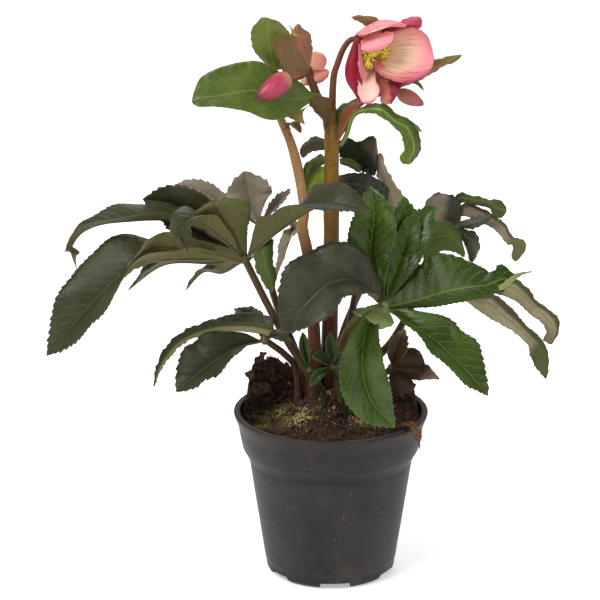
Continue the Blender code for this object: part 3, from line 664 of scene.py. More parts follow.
oliveLook = dict(
    underLook, lower=(50, 60, 22), lowerToo=(80, 88, 40), lowerVein=(102, 106, 60), margin=(60, 50, 28),
    teeth=0.5,
)
blackLook = dict(
    oldLook, upper=(22, 28, 8), upperToo=(36, 42, 20), vein=(52, 56, 34), tip=(92, 80, 68), tipFrom=20,
    tipTo=34, teeth=0.6, sockets={"Specular_IOR_Level": 0.12},
)
paleLook = dict(
    underLook, lower=(166, 156, 126), lowerToo=(130, 122, 92), lowerVein=(112, 102, 70),
    band=(66, 66, 42), bandAt=(-0.15, -0.6, 0.95), teeth=0.6, mottleScale=38, upper=(70, 72, 48),
    upperToo=(96, 92, 64), margin=(110, 84, 58), rimWidth=1.6,
)
brownPaleLook = dict(
    paleLook, lower=(176, 156, 136), lowerToo=(132, 114, 98), band=(72, 62, 50), tip=(96, 92, 56),
    tipFrom=64, tipTo=80,
)
olivePaleLook = dict(paleLook, tip=(78, 82, 48), tipFrom=88, tipTo=104, tipShare=0.9)
darkLook = dict(
    oldLook, upper=(40, 44, 30), upperToo=(72, 72, 56), vein=(100, 98, 78), lower=(72, 74, 54),
    lowerToo=(96, 92, 72), margin=(96, 80, 60), gloss=0.36, mottleScale=70,
)
greyBrownLook = dict(
    darkLook, upper=(96, 88, 70), upperToo=(138, 126, 108), vein=(136, 126, 108), margin=(64, 56, 42),
    gloss=0.5, band=(46, 48, 34), bandAt=(0.0, 0.5, 0.9),
)
# its pale tip colour stands for both the leaf's pale dry edges and a painted highlight on its lobe
brownLook = dict(
    oldLook, upper=(34, 25, 16), upperToo=(68, 52, 38), vein=(96, 78, 58), tip=(136, 114, 92), tipFrom=24,
    tipTo=36, tipShare=0.8, sockets={"Specular_IOR_Level": 0.15}, lower=(140, 114, 88),
    lowerToo=(104, 82, 60), margin=(150, 122, 96), gloss=0.5, netShare=0.35,
)
behindLook = dict(
    oldLook, upper=(122, 110, 88), upperToo=(158, 146, 124), vein=(150, 138, 114), lower=(120, 108, 86),
    lowerToo=(150, 138, 116), margin=(96, 84, 62), gloss=0.5,
)
youngLook = dict(
    newLook, upper=(20, 32, 8), upperToo=(40, 56, 16), vein=(70, 90, 36), gloss=0.45, net=0.9,
    netShare=0.2,
)


def stalkRadii(radius):
    # the foot of a leaf stalk widens where it clasps the crown
    return [radius * part for part in (1.5, 1.35, 1.05, 0.95, 0.9, 0.88, 0.85)]


def sheetDetail(rows, least, most, across):
    # two rows of faces to a millimetre, within limits
    length = sum(math.dist(a[1], b[1]) for a, b in zip(rows, rows[1:]))
    return max(least, min(int(2 * length), most)), across


def makeLeaf(name, leaf, look, ribColours, stalkColours, seed):
    piece = startPiece()
    form = dict(leafletForm, **leaf.get("form", {}))
    foot = leaf["foot"]
    route = [(*foot, footBelow), (*foot, footTop), *leaf["stalk"]]
    addTube(piece, route, stalkRadii(leaf["radius"]), 2, 0.5, 18, 1.6, 0.08, seed)
    hub = np.array(leaf["stalk"][-1], float)
    addBall(piece, hub, (1.25 * leaf["radius"],) * 3, 1, 0.5, seed, 0.12)
    others = {look["name"]: 0}
    slots = [look]
    for number, blade in enumerate(leaf["blades"]):
        width, face, points = blade[:3]
        own = blade[3] if len(blade) > 3 else look
        if own["name"] not in others:
            others[own["name"]] = len(slots) + 2
            slots.append(own)
        towards = unit(np.array(points[0], float) - hub)
        midrib = [tuple(hub + towards * 0.5 * leaf["radius"]), *points]
        addBlade(piece, midrib, width, face or upward, form, others[own["name"]], 1, seed * 37 + number)
    for number, (own, seen, taper, rows) in enumerate(leaf.get("sheets", ())):
        if own["name"] not in others:
            others[own["name"]] = len(slots) + 2
            slots.append(own)
        towards = inFront if seen == "upper" else behind
        shade = ((seed * 37 + number * 17) % 10) / 10
        edge = dict(form, toothDepth=own.get("teeth", 0.9), quilt=0.3)
        detail = sheetDetail(rows, 12, 130, 25)
        slot = others[own["name"]]
        addSheet(piece, rows, slot, towards, seed + number, 0.6, detail, taper, 0.5, shade, edge)
    materials = [
        bladeFinish(name + " blade", look, form),
        plainFinish(name + " rib", *ribColours, 120, 0.45, 0.08),
        stemFinish(name + " stalk", *stalkColours, gloss=0.4),
    ]
    for own in slots[1:]:
        materials.append(bladeFinish(name + " " + own["name"], own, form))
    return buildPiece(piece, name + "_grown", materials, [name])


def addBall(piece, centre, radii, slot, tone, seed=0, rough=0.0, rows=9, sides=12, axis=None):
    # a small rounded body, stretched and dented
    polar = np.linspace(0, math.pi, rows)
    turn = np.linspace(0, 2 * math.pi, sides, endpoint=False)
    out, up = np.sin(polar)[:, None], -np.cos(polar)[:, None]
    shape = np.stack(np.broadcast_arrays(out * np.cos(turn), out * np.sin(turn), up), -1)
    if rough:
        for row in range(1, rows - 1):
            for k in range(sides):
                dent = noise.noise(Vector(shape[row, k]) * 2.3 + Vector((seed, 0, 0)))
                shape[row, k] *= 1 + rough * dent
    grid = shape * np.array(radii)
    if axis is not None:
        turned = Vector((0, 0, 1)).rotation_difference(Vector(axis)).to_matrix()
        grid = grid @ np.array(turned).T
    grid = grid + np.array(centre)
    lay = np.zeros((rows * sides, 3))
    lay[:, 0] = np.repeat(polar / math.pi * 2 * radii[2], sides)
    lay[:, 2] = 10
    first = addPoints(piece, grid, lay, 1, tone)
    index = first + np.arange(rows * sides).reshape(rows, sides)
    index = np.hstack([index, index[:, :1]])
    addFaces(piece, gridQuads(index[1:-1]), slot)
    addFaces(piece, np.column_stack([np.full(sides, first), index[1, 1:], index[1, :-1]]), slot)
    top = np.column_stack([np.full(sides, index[-1, 0]), index[-2, :-1], index[-2, 1:]])
    addFaces(piece, top, slot)


for title, look in {
    "old": oldLook,
    "oldFront": oldFrontLook,
    "under": underLook,
    "bright": brightLook,
    "paleGreen": paleGreenLook,
    "rimmed": rimmedLook,
    "black": blackLook,
    "brownPale": brownPaleLook,
    "olivePale": olivePaleLook,
    "mossy": mossyLook,
    "olive": oliveLook,
    "pale": paleLook,
    "dark": darkLook,
    "greyBrown": greyBrownLook,
    "grey": greyLook,
    "new": newLook,
    "brown": brownLook,
    "behind": behindLook,
    "young": youngLook,
}.items():
    look["name"] = title

darkRib = ((70, 46, 34), (96, 84, 58))
greenRib = ((112, 110, 60), (136, 128, 84))
youngRib = ((40, 52, 18), (60, 74, 28))
darkStalk = ((62, 36, 22), (78, 70, 32), (104, 92, 50), 0.35)
greenStalk = ((70, 56, 24), (88, 98, 36), (120, 122, 60), 0.3)
youngStalk = ((30, 34, 12), (44, 58, 20), (70, 82, 36), 0.3)

leafLeft = {
    "foot": (-12, -10), "radius": 2.8,
    "stalk": [(-16, -12, 144), (-31, -13, 169), (-42, -14, 191), (-50, -15, 208), (-57, -15, 223)],
    "blades": [
        (52, ((0, 0.5, 1), (-0.3, -0.9, 0.5)), [
            (-86, -25, 226), (-115, -35, 228), (-134, -40, 221), (-158, -44, 199), (-186, -48, 167),
        ]),
        (28, None, [(-77, -1, 216), (-110, 5, 213), (-135, 5, 195)]),
        (18, None, [(-72, 6, 207), (-85, 14, 205), (-97, 18, 191)]),
        (24, None, [(-82, -33, 252), (-92, -42, 258), (-97, -50, 252), (-93, -54, 240)]),
        (44, ((0, 0.3, 1), (0, -0.5, 1)), [(-32, -38, 251), (-4, -62, 274), (25, -72, 272)]),
        (30, None, [
            (-96, -12, 247), (-138, -20, 250), (-160, -22, 245), (-170, -21, 232), (-167, -20, 218),
        ]),
        (38, front, [(-83, -2, 242), (-104, -2, 256), (-124, -5, 261)]),
    ],
    "sheets": [
        (underLook, "under", 0.8, [
            [(-58.3, -18, 224), (-58.8, -18, 222.2), (-59.2, -18, 220.5)],
            [(-68.2, -22, 233), (-72.5, -24, 228.3), (-77, -22, 224.3)],
            [(-89.8, -26, 240.4), (-94.1, -31, 234), (-98.6, -29, 227)],
            [(-106, -31, 246.4), (-113.4, -38, 237.9), (-118, -37, 226.7)],
            [(-117.8, -38, 244), (-125.8, -47, 234.3), (-130.8, -47, 223.4)],
            [(-127.4, -44, 233.4), (-134.4, -53, 225), (-140.6, -53, 216.3)],
        ]),
        (underLook, "under", 0.8, [
            [(-58.3, -15, 224.4), (-57, -15, 225.8), (-55.3, -15, 226.7)],
            [(-71.4, -20, 235.5), (-63.2, -23, 242.3), (-55, -20, 244.2)],
            [(-85.2, -26, 247.1), (-72, -30, 256.2), (-53.1, -25, 255.8)],
            [(-94, -31, 253.3), (-76.1, -34, 264.6), (-53.4, -28, 265.5)],
            [(-90.9, -31, 259.6), (-76, -33, 268.3), (-57.6, -29, 269)],
        ]),
        (mossyLook, "under", 0.8, [
            [(-55.7, -16, 222.5), (-54.8, -17, 222.3), (-53.1, -17, 222.8)],
            [(-51.2, -22, 226.2), (-45.8, -27, 232.7), (-38.9, -24, 239.5)],
            [(-49, -24, 217.2), (-42.8, -29, 221.5), (-38.5, -26, 225.6)],
            [(-43, -24, 206.7), (-39.8, -28, 212.1), (-35.9, -26, 215.3)],
            [(-39.5, -24, 202.2), (-38.4, -25, 203.4), (-37.3, -25, 204.8)],
        ]),
    ],
}
leafRearLeft = {
    "foot": (-18, 11), "radius": 2.6,
    "stalk": [(-24, 13, 150), (-36, 17, 180), (-44, 20, 210), (-47, 22, 235)],
    "blades": [
        (16, frontUp, [(-70, 26, 247), (-93, 26, 260), (-106, 22, 257)]),
        (36, front, [(-53, 31, 248), (-58, 34, 269)]),
        (13, None, [(-34, 22, 240), (-26, 20, 234), (-30, 17, 220), (-37, 14, 200)]),
        (9, frontUp, [(-38, 31, 245), (-27, 36, 256)]),
    ],
}
leafLowLeft = {
    "foot": (-22, -5), "radius": 2.6,
    "stalk": [(-24, -8, 146), (-31, -15, 157), (-38, -19, 164), (-44, -21, 169)],
    "blades": [
        (40, (0, -0.4, 0.9), [(-64, -27, 165), (-83, -35, 154), (-102, -42, 140)]),
        (20, None, [(-54, -6, 177), (-62, 8, 182)]), (10, frontUp, [(-36, -28, 174), (-26, -31, 171)]),
    ],
    "sheets": [
        (rimmedLook, "upper", 0.9, [
            [(-38, -16, 183.4), (-38, -20, 177.7), (-36.9, -21, 171.1)],
            [(-57.9, -10, 184.2), (-60, -17, 179), (-59.9, -22, 175.1)],
            [(-80.1, -8, 178.4), (-81, -15, 176), (-81.9, -20, 172.6)],
            [(-98.9, -9, 170.5), (-97.6, -14, 168.7), (-96.4, -18, 166.1)],
            [(-110, -12, 160.6), (-108.3, -15, 158.6), (-106.5, -17, 155.7)],
            [(-115.5, -15, 149.9), (-114.3, -17, 148.2), (-113, -18, 146.2)],
            [(-118.3, -18, 134.9), (-117.8, -18, 134.7), (-117.4, -18, 134.2)],
        ]),
    ],
}
leafFrontRight = {
    "foot": (6, -7), "radius": 3.2,
    "stalk": [(6, -9, 150), (8, -15, 166), (14, -26, 182), (24, -39, 195), (34, -45, 200)],
    "blades": [
        (54, frontUp, [(16, -60, 221), (-1, -68, 223), (-17, -75, 211), (-32, -78, 193)], oldFrontLook),
        (36, front, [(25, -42, 231), (27, -38, 258), (25, -30, 277)]),
        (28, front, [(40, -35, 228), (47, -29, 250), (47, -25, 269)]),
        (26, front, [(43, -40, 222), (52, -32, 242), (63, -25, 258), (69, -24, 259)]),
        (38, (0, -0.4, 0.9), [(57, -60, 189), (79, -68, 172), (101, -72, 148)]),
        (36, front, [(24, -60, 194), (20, -65, 178), (20, -66, 160), (26, -66, 142), (41, -64, 123)]),
        (24, back, [(27, -30, 208), (19, -21, 224), (12, -18, 240)]),
    ],
    "sheets": [
        (brightLook, "upper", 0.9, [
            [(33.4, -46, 201.4), (33.9, -46, 199.8), (34.5, -46, 198.7)],
            [(41.7, -42, 212), (46.2, -50, 203.9), (53.7, -52, 201.3)],
            [(53.8, -40, 223.3), (61.1, -54, 209.3), (67.1, -58, 204.1)],
            [(67.3, -40, 234.8), (74.5, -58, 214.7), (80.4, -62, 207.9)],
            [(88.3, -44, 230.9), (89.4, -60, 218.1), (92.3, -64, 211)],
            [(101.8, -48, 224.7), (99.9, -60, 219.4), (102.1, -62, 213.8)],
            [(109.2, -50, 230), (108.9, -58, 222.7), (109.8, -58, 213.7)],
            [(118.1, -54, 225), (117.3, -56, 222.8), (114.4, -55, 218.6)],
        ]),
        (paleGreenLook, "upper", 0.5, [
            [(103, -58, 216.9), (103.8, -58, 215.6), (104.5, -58, 214)],
            [(108.8, -60, 220.2), (110.4, -60, 218.6), (111.1, -60, 217)],
            [(117.8, -58, 226.3), (119.4, -58, 225.3), (120.1, -58, 224.2)],
            [(128.5, -55, 227.5), (128.8, -55, 227.1), (129, -55, 226.7)],
        ]),
        (paleGreenLook, "under", 0.8, [
            [(32.4, -47, 201), (35, -50, 200.6), (37.1, -48, 197.7)],
            [(25.4, -52, 203), (30.5, -60, 198.4), (39.7, -60, 193.3)],
            [(20.2, -55, 202.6), (25.3, -64, 197), (33.5, -62, 190.6)],
            [(15.1, -57, 201.8), (21, -62, 198.7), (27.1, -60, 191.4)],
            [(12.8, -58, 201), (13.8, -58, 200.3), (15.2, -58, 199.2)],
        ]),
    ],
}
leafRight = {
    "foot": (26, 34), "radius": 2.6,
    "stalk": [(42, 34, 150), (58, 26, 185), (67, 12, 221)],
    "blades": [],
    "sheets": [
        (greyBrownLook, "upper", 0.8, [
            [(65.1, 10, 221.3), (67, 12, 221), (69, 10, 221.3)],
            [(63.2, 18, 231.8), (68.9, 11, 234.7), (79.2, 18, 231)],
            [(62, 24, 242.9), (71.9, 13, 248.6), (84.8, 16, 236.4)],
            [(62.9, 25, 250.7), (73.1, 14, 254.7), (86.2, 17, 248.2)],
            [(68.3, 24, 257.1), (75.8, 18, 257.6), (84, 18, 255.7)],
        ]),
        (oliveLook, "under", 0.8, [
            [(67.5, 14, 221.7), (67.9, 13, 222.3), (68.4, 12, 222.3)],
            [(75.6, 28, 237.7), (77.1, 27, 238.8), (79.4, 26, 238.3)],
            [(83.7, 22, 256.4), (84.4, 20, 253.8), (85.6, 18, 251.1)],
            [(94, 20, 256), (94.2, 17, 253.9), (94.5, 16, 250.8)],
            [(103.7, 19, 254.1), (104, 15, 252.5), (104.3, 14, 249.1)],
            [(111.4, 18, 253.4), (109.7, 14, 249.4), (106.8, 13, 244.6)],
            [(115.2, 17, 252.7), (116.1, 14, 247.5), (113.4, 13, 239.1)],
        ]),
        (brownPaleLook, "under", 0.8, [
            [(67.8, 14, 221.4), (68.3, 13, 222), (68.7, 12, 222)],
            [(77.2, 28, 234.4), (78.7, 27, 234.7), (80.5, 26, 234.2)],
            [(88.5, 24, 249.7), (86.9, 21, 247), (86.4, 19, 242)],
            [(98.4, 20, 248), (96.7, 16, 245.3), (95.2, 15, 241.1)],
            [(107.9, 16, 243.7), (105.3, 13, 240.5), (101.9, 12, 238.7)],
            [(115.5, 12, 238.4), (112.3, 10, 236.6), (109, 10, 234.7)],
            [(120.4, 8, 231.3), (117.2, 7, 229.5), (115.2, 8, 227.7)],
            [(127.1, 6, 229.6), (123.1, 5, 225.7), (120.1, 7, 224.7)],
            [(128.9, 4, 225.1), (124.6, 3, 221.5), (119.2, 5, 219.3)],
            [(125.6, 3, 217.8), (122.8, 3, 216), (119.5, 4, 213.8)],
        ]),
        (darkLook, "upper", 0.8, [
            [(68.4, 12, 221.7), (68.7, 11, 221.5), (69, 10, 221.3)],
            [(76.7, 14, 235.4), (77.9, 12, 234.5), (78.4, 10, 233.5)],
            [(83.7, 13, 240), (84.2, 9, 239), (84.8, 8, 236.9)],
            [(91.9, 11, 243.1), (91.7, 5, 241.3), (91.8, 6, 237.2)],
            [(99.5, 9, 246.1), (99.3, 4, 244), (98.8, 5, 239.4)],
            [(106.2, 8, 246.5), (105.2, 5, 245.3), (103.4, 6, 241.5)],
        ]),
        (mossyLook, "under", 0.8, [
            [(65.5, 9, 218.7), (66.2, 9, 219.7), (66.8, 9, 220.3)],
            [(61, 0, 217.1), (60.8, -4, 227.2), (61.5, 2, 234.2)],
            [(68.5, -4, 223.2), (68.3, -8, 235.6), (63.2, 0, 244.2)],
            [(76.9, -5, 225.6), (76.7, -8, 236.4), (74.3, 0, 244.6)],
            [(83.9, -3, 222.4), (83.8, -5, 231.1), (82.6, 0, 239.9)],
            [(89, 0, 217.6), (88, -2, 223.4), (86.4, 0, 230.5)],
        ]),
        (darkLook, "upper", 0.8, [
            [(68.4, 11, 221), (68.6, 10, 220.7), (68.9, 9, 220.3)],
            [(82.7, 9, 235.8), (83.2, 7, 233.8), (83.5, 6, 230.9)],
            [(90, 8, 236.1), (89.5, 2, 232.6), (88.8, 4, 225.1)],
            [(96.9, 8, 232.2), (93.9, 2, 228.6), (89.7, 4, 222.8)],
            [(98.2, 7, 224.7), (95.3, 3, 221.5), (91.1, 5, 216.9)],
            [(94.5, 5, 214.8), (93.2, 4, 214.4), (92, 5, 214.8)],
        ]),
        (paleLook, "under", 0.8, [
            [(68.8, 14, 220.1), (68.7, 12, 219.4), (68.4, 10, 218.7)],
            [(91.2, 20, 206.8), (89.1, 15, 204.8), (86.5, 11, 203.5)],
            [(113.1, 20, 197.9), (111.3, 14, 194.9), (107.9, 12, 191.1)],
            [(122.3, 18, 199.3), (120.2, 11, 195), (116.7, 10, 188.9)],
            [(130.8, 14, 194.1), (127.7, 8, 190.8), (124.9, 8, 184.9)],
            [(137.8, 11, 185.3), (134.7, 6, 182.5), (132.3, 6, 178)],
            [(146.1, 8, 180), (142.5, 4, 176.9), (139.2, 5, 173.2)],
            [(151.6, 5, 175), (147.2, 2, 171.4), (143.6, 4, 167)],
            [(152.3, 3, 168.5), (147.9, 1, 164.9), (140.9, 3, 160.9)],
            [(149.3, 2, 159.3), (146.1, 1, 158.3), (141.9, 3, 159.3)],
        ]),
        (olivePaleLook, "under", 0.8, [
            [(68.3, 10, 219.4), (68, 8, 219), (67.3, 6, 218.3)],
            [(84.7, 12, 202.5), (82.7, 8, 200.1), (80.2, 5, 197.3)],
            [(98.8, 10, 190.2), (95.8, 6, 187.7), (92.4, 5, 185.3)],
            [(107.4, 8, 191.5), (105.7, 3, 186.2), (103.6, 3, 177.4)],
            [(116.8, 5, 185.9), (113.4, 0, 179.8), (110.7, 1, 173.7)],
            [(125.6, 2, 177), (122.7, -2, 172.3), (120, -1, 168.7)],
            [(129.6, 0, 172.1), (128.9, -3, 166.9), (129.7, -3, 161)],
            [(136.1, -3, 167.7), (134.5, -6, 161.3), (132.2, -5, 153.8)],
            [(142.5, -6, 160), (139.1, -9, 153.8), (134.3, -8, 148.8)],
            [(145.2, -8, 147.2), (141.4, -10, 144.9), (137.5, -9, 142.9)],
            [(144.1, -9, 138.3), (142.8, -9.5, 137.8), (141.6, -9, 138.3)],
        ]),
    ],
}
leafBehindStem = {
    "foot": (8, 20), "radius": 2.6,
    "stalk": [(14, 26, 170), (22, 32, 215), (25, 34, 240)],
    "blades": [],
    "sheets": [
        (blackLook, "upper", 0.97, [
            [(5.6, 36, 284.4), (5.6, 36, 281.2), (5.6, 36, 278)],
            [(12, 36, 283.3), (12.3, 36, 279.6), (12.9, 36, 276)],
            [(18.3, 36, 281.2), (18.3, 36, 275.8), (19.3, 36, 269.9)],
            [(24.5, 36, 279.1), (23.5, 36, 272.6), (22, 36, 265.8)],
        ]),
        (blackLook, "upper", 0.97, [
            [(3.8, 40, 287.6), (3.8, 38, 284.4), (3.8, 38, 280.8)],
            [(11.5, 40, 290.2), (12, 36, 285.4), (13.6, 36, 278.2)],
            [(17.7, 38, 288.1), (18.3, 36, 281.2), (19.3, 38, 273.1)],
            [(26.5, 36, 292.7), (24.4, 34, 280.7), (22.5, 38, 267.1)],
            [(29.8, 34, 291.5), (28, 32, 279.1), (26.6, 34, 266.1)],
            [(30.9, 36, 286.5), (30.7, 36, 275.8), (29.9, 36, 265)],
        ]),
        (darkLook, "under", 0.8, [
            [(-3.5, 38, 289.7), (-3.5, 36, 286.7), (-3.5, 36, 283.1)],
            [(-11.7, 38, 291.9), (-11.7, 34, 288.1), (-11.7, 34, 282.6)],
            [(-16.4, 36, 288.9), (-16.9, 32, 286), (-15.9, 32, 280.7)],
            [(-21, 32, 284.4), (-20.8, 30, 282.8), (-19.8, 29, 278.3)],
        ]),
        (oliveLook, "under", 0.8, [
            [(5.4, 29, 279.1), (5.6, 27, 277.8), (5.8, 25, 276.5)],
            [(9.4, 29, 279.4), (9.7, 27, 277), (10.1, 25, 274.8)],
            [(14.1, 29, 278.6), (14.3, 27, 275.6), (14.5, 25, 273.1)],
            [(18.2, 30, 275.3), (17.2, 28, 273.2), (16.5, 26, 271.1)],
            [(20.5, 31, 270.1), (19.3, 29, 269.6), (18.2, 27, 269.3)],
        ]),
        (darkLook, "upper", 0.97, [
            [(3.8, 28, 267.3), (4, 24, 263), (4.3, 22, 258.2)],
            [(14.1, 27, 269.7), (14.1, 21, 263.9), (14.1, 18, 256.1)],
            [(24.4, 26, 269.1), (23.3, 20, 262), (22.3, 17, 252.1)],
            [(33.2, 27, 263.8), (31.1, 22, 256), (29.5, 18, 246.5)],
            [(38.9, 29, 258.3), (37.4, 26, 250.6), (35.9, 24, 240.4)],
        ]),
        (behindLook, "upper", 0.7, [
            [(39.1, 34, 236.3), (45.3, 30, 239.7), (51.6, 34, 241.7)],
            [(34.9, 34, 252.6), (40.5, 29, 255.1), (47.6, 34, 252.6)],
            [(30.9, 35, 265.3), (34.8, 31, 267.5), (39.5, 35, 265.3)],
            [(29.9, 36, 273.6), (32.7, 33, 275), (35.5, 36, 274.7)],
            [(30.7, 37, 279.6), (32.2, 36, 281), (33.8, 37, 281.1)],
        ]),
    ],
}
leafLowRight = {
    "foot": (26, 8), "radius": 2.4,
    "stalk": [(33, 12, 131), (41, 15, 137)],
    "blades": [(15, front, [(44, 9, 152), (49, 5, 168)])],
    "sheets": [
        (brownLook, "upper", 0.8, [
            [(40.4, 14, 138.5), (41.1, 12, 137.8), (41.9, 10, 137.3)],
            [(40.5, 14, 145), (47.7, 7, 143.5), (54.2, 8, 138)],
            [(47.5, 14, 149.4), (55.4, 7, 147.4), (62.1, 6, 141.3)],
            [(55.1, 12, 153.8), (59.4, 8, 151.1), (62.7, 6, 146.4)],
        ]),
        (brownLook, "upper", 0.8, [
            [(41.1, 12, 139.2), (41.4, 11, 137.8), (41.7, 10, 136.5)],
            [(54.7, 10, 143), (53.2, 5, 138.6), (51.9, 6, 132.1)],
            [(62.6, 8, 142.3), (60.5, 3, 138.1), (57, 4, 132.1)],
            [(68.2, 6, 138.7), (66.8, 2, 136.4), (63.4, 3, 132.5)],
            [(72.7, 4, 133.8), (72.5, 3.5, 133.1), (71.4, 4, 132.3)],
        ]),
        (brownLook, "upper", 0.8, [
            [(40.8, 12, 138.8), (41.4, 11, 137.8), (42.4, 11, 137.2)],
            [(39.1, 6, 134.5), (45.7, 1, 134.5), (53, 4, 132.8)],
            [(39, 0, 128.4), (46.6, -4, 129.2), (56.9, 0, 129.8)],
            [(41.3, -3, 123.4), (47, -5, 123.8), (52.9, -2, 126.1)],
        ]),
    ],
}
leafRear = {
    "foot": (4, 38), "radius": 2.6,
    "stalk": [(8, 46, 150), (16, 56, 168), (22, 62, 180)],
    "blades": [
        (30, None, [(40, 74, 188), (54, 84, 180), (62, 88, 160)]),
        (34, None, [(30, 88, 188), (36, 112, 174), (40, 126, 148)]),
        (32, None, [(4, 86, 186), (-10, 106, 174), (-18, 118, 150)]),
        (24, None, [(0, 66, 188), (-20, 72, 184), (-32, 76, 166)]),
    ],
}
leafYoung = {
    "foot": (9, -23), "radius": 1.8,
    "stalk": [(7, -26, 139), (1, -29, 153)],
    "form": {
        "veinEvery": 3.5, "toothEvery": 2.0, "toothDepth": 0.5, "quilt": 0.2, "ribRadius": 0.5,
        "base": 1.2,
    },
    "blades": [
        (9, front, [(0, -30, 164), (-1, -29, 177)]), (11, frontUp, [(-7, -33, 160), (-13, -35, 162)]),
        (8, front, [(-8, -34, 150), (-14, -37, 142)]), (7, front, [(4, -33, 159), (7, -34, 165)]),
    ],
}
shootFolded = {
    "foot": (-5, -18), "radius": 1.9,
    "stalk": [(-8, -21, 138), (-14, -24, 149)],
    "form": {
        "veinEvery": 3.5, "toothDepth": 0.2, "quilt": 0.2, "fold": 60, "ribRadius": 0.5, "base": 1.2,
    },
    "blades": [(10, front, [(-17, -25, 161), (-19, -25, 176)])],
}

makeLeaf("leaf_left", leafLeft, oldLook, darkRib, darkStalk, 1)
makeLeaf("leaf_rear_left", leafRearLeft, greyLook, darkRib, darkStalk, 2)
makeLeaf("leaf_low_left", leafLowLeft, oldLook, darkRib, darkStalk, 3)
makeLeaf("leaf_front_right", leafFrontRight, newLook, greenRib, greenStalk, 4)
makeLeaf("leaf_right", leafRight, oldLook, darkRib, darkStalk, 5)
makeLeaf("leaf_behind_stem", leafBehindStem, behindLook, darkRib, darkStalk, 6)
makeLeaf("leaf_low_right", leafLowRight, brownLook, darkRib, darkStalk, 7)
makeLeaf("leaf_rear", leafRear, oldLook, darkRib, darkStalk, 8)
makeLeaf("leaf_young", leafYoung, youngLook, youngRib, youngStalk, 9)
makeLeaf("shoot_folded", shootFolded, youngLook, youngRib, youngStalk, 10)
print("leaves grown")


# Flower stalks: shoots are a radius at the start and end and a route, bracts are a width, the
# way they face, their look and their route.
greenBract = {
    "name": "green", "upper": (52, 74, 16), "upperToo": (88, 106, 34), "vein": (128, 138, 70),
    "lower": (110, 122, 52), "lowerToo": (88, 98, 38), "lowerVein": (138, 138, 80),
    "margin": (150, 130, 84), "gloss": 0.36, "underGloss": 0.5, "veinShare": 0.34, "netShare": 0.3,
    "rimWidth": 0.9, "sockets": {"Specular_IOR_Level": 0.3},
}
oliveBract = dict(
    greenBract, name="olive", upper=(104, 98, 36), upperToo=(146, 124, 70), vein=(150, 134, 84),
    lower=(112, 108, 40), lowerToo=(142, 122, 64), lowerVein=(150, 132, 80), margin=(150, 104, 70),
)
brownBract = dict(
    greenBract, name="brown", upper=(96, 74, 38), upperToo=(128, 98, 62), vein=(104, 72, 48),
    lower=(96, 74, 38), lowerToo=(128, 98, 62), lowerVein=(92, 62, 44), margin=(150, 96, 76),
)
rosyBract = dict(
    brownBract, name="rosy", upper=(138, 92, 62), upperToo=(166, 116, 88), lower=(138, 92, 62),
    lowerToo=(166, 116, 88),
)
capBract = dict(
    brownBract, name="cap", upper=(118, 96, 48), upperToo=(140, 116, 66), lower=(124, 100, 52),
    lowerToo=(142, 120, 68),
)
sheathBract = dict(
    greenBract, name="sheath", upper=(42, 58, 14), upperToo=(66, 72, 26), band=(124, 62, 42),
    bandAt=(-0.1, 0.3, 0.95), teeth=0,
)
forkBract = dict(
    greenBract, name="fork", upper=(62, 46, 18), upperToo=(92, 70, 32), vein=(66, 48, 22),
    margin=(140, 118, 66), rimWidth=0.5, gloss=0.6, teeth=0,
)
rightBract = dict(
    greenBract, name="right", upper=(112, 94, 36), upperToo=(148, 122, 70), vein=(140, 120, 70),
    tip=(84, 92, 30), tipFrom=26, tipTo=50, tipShare=0.8, margin=(140, 110, 70),
)
archedBract = dict(
    greenBract, name="arched", upper=(58, 84, 14), upperToo=(96, 116, 40), vein=(142, 156, 76),
    veinShare=0.5, margin=(164, 164, 92), band=(34, 54, 8), bandAt=(-0.15, -0.8, 0.75),
)
uprightBract = dict(
    greenBract, name="upright", upper=(78, 92, 18), upperToo=(108, 120, 38), vein=(136, 140, 70),
    band=(120, 124, 60), bandAt=(-0.2, 0.1, 0.7), margin=(100, 110, 60), teeth=0.9,
)
limeBract = dict(
    greenBract, name="lime", upper=(126, 150, 40), upperToo=(158, 172, 70), vein=(176, 186, 96),
    lower=(104, 120, 36), lowerToo=(128, 140, 56), gloss=0.3,
)
stalkMain = {
    "foot": (-2, 6),
    "shoots": [
        (5.5, 4.9, [(-1, 5, 160), (0, 5, 230), (0, 4, 270), (0, 4, 312)]),
        (2.6, 1.8, [
            (0, 4, 308), (1, 5, 338), (4, 7, 350), (8, 11, 359), (13, 13, 364), (17.2, 11.6, 363),
        ]),
        (3.0, 2.6, [(-1, 4, 308), (-7, 5, 322), (-12, 7, 334), (-16, 8, 346)]),
        (2.2, 1.6, [(-1, 4, 292), (12, 9, 312), (20, 15, 321), (38, 20, 328), (43, 19.6, 326.6)]),
        (1.6, 1.2, [(-16, 8, 343), (-22, -1, 341.5), (-28, -11.5, 344)]),
    ],
    "bracts": [(6, front, brownBract, [(13, 14, 364), (24, 17, 368), (28, 17, 371)])],
    "knots": [
        ((0, 4, 309), (5.6, 5.2, 5)), ((-1, 4, 313), (5.2, 5, 10)), ((-16, 8, 345), (3.2, 3, 3)),
        ((43, 19.6, 327), (2.2, 2, 2)),
    ],
}
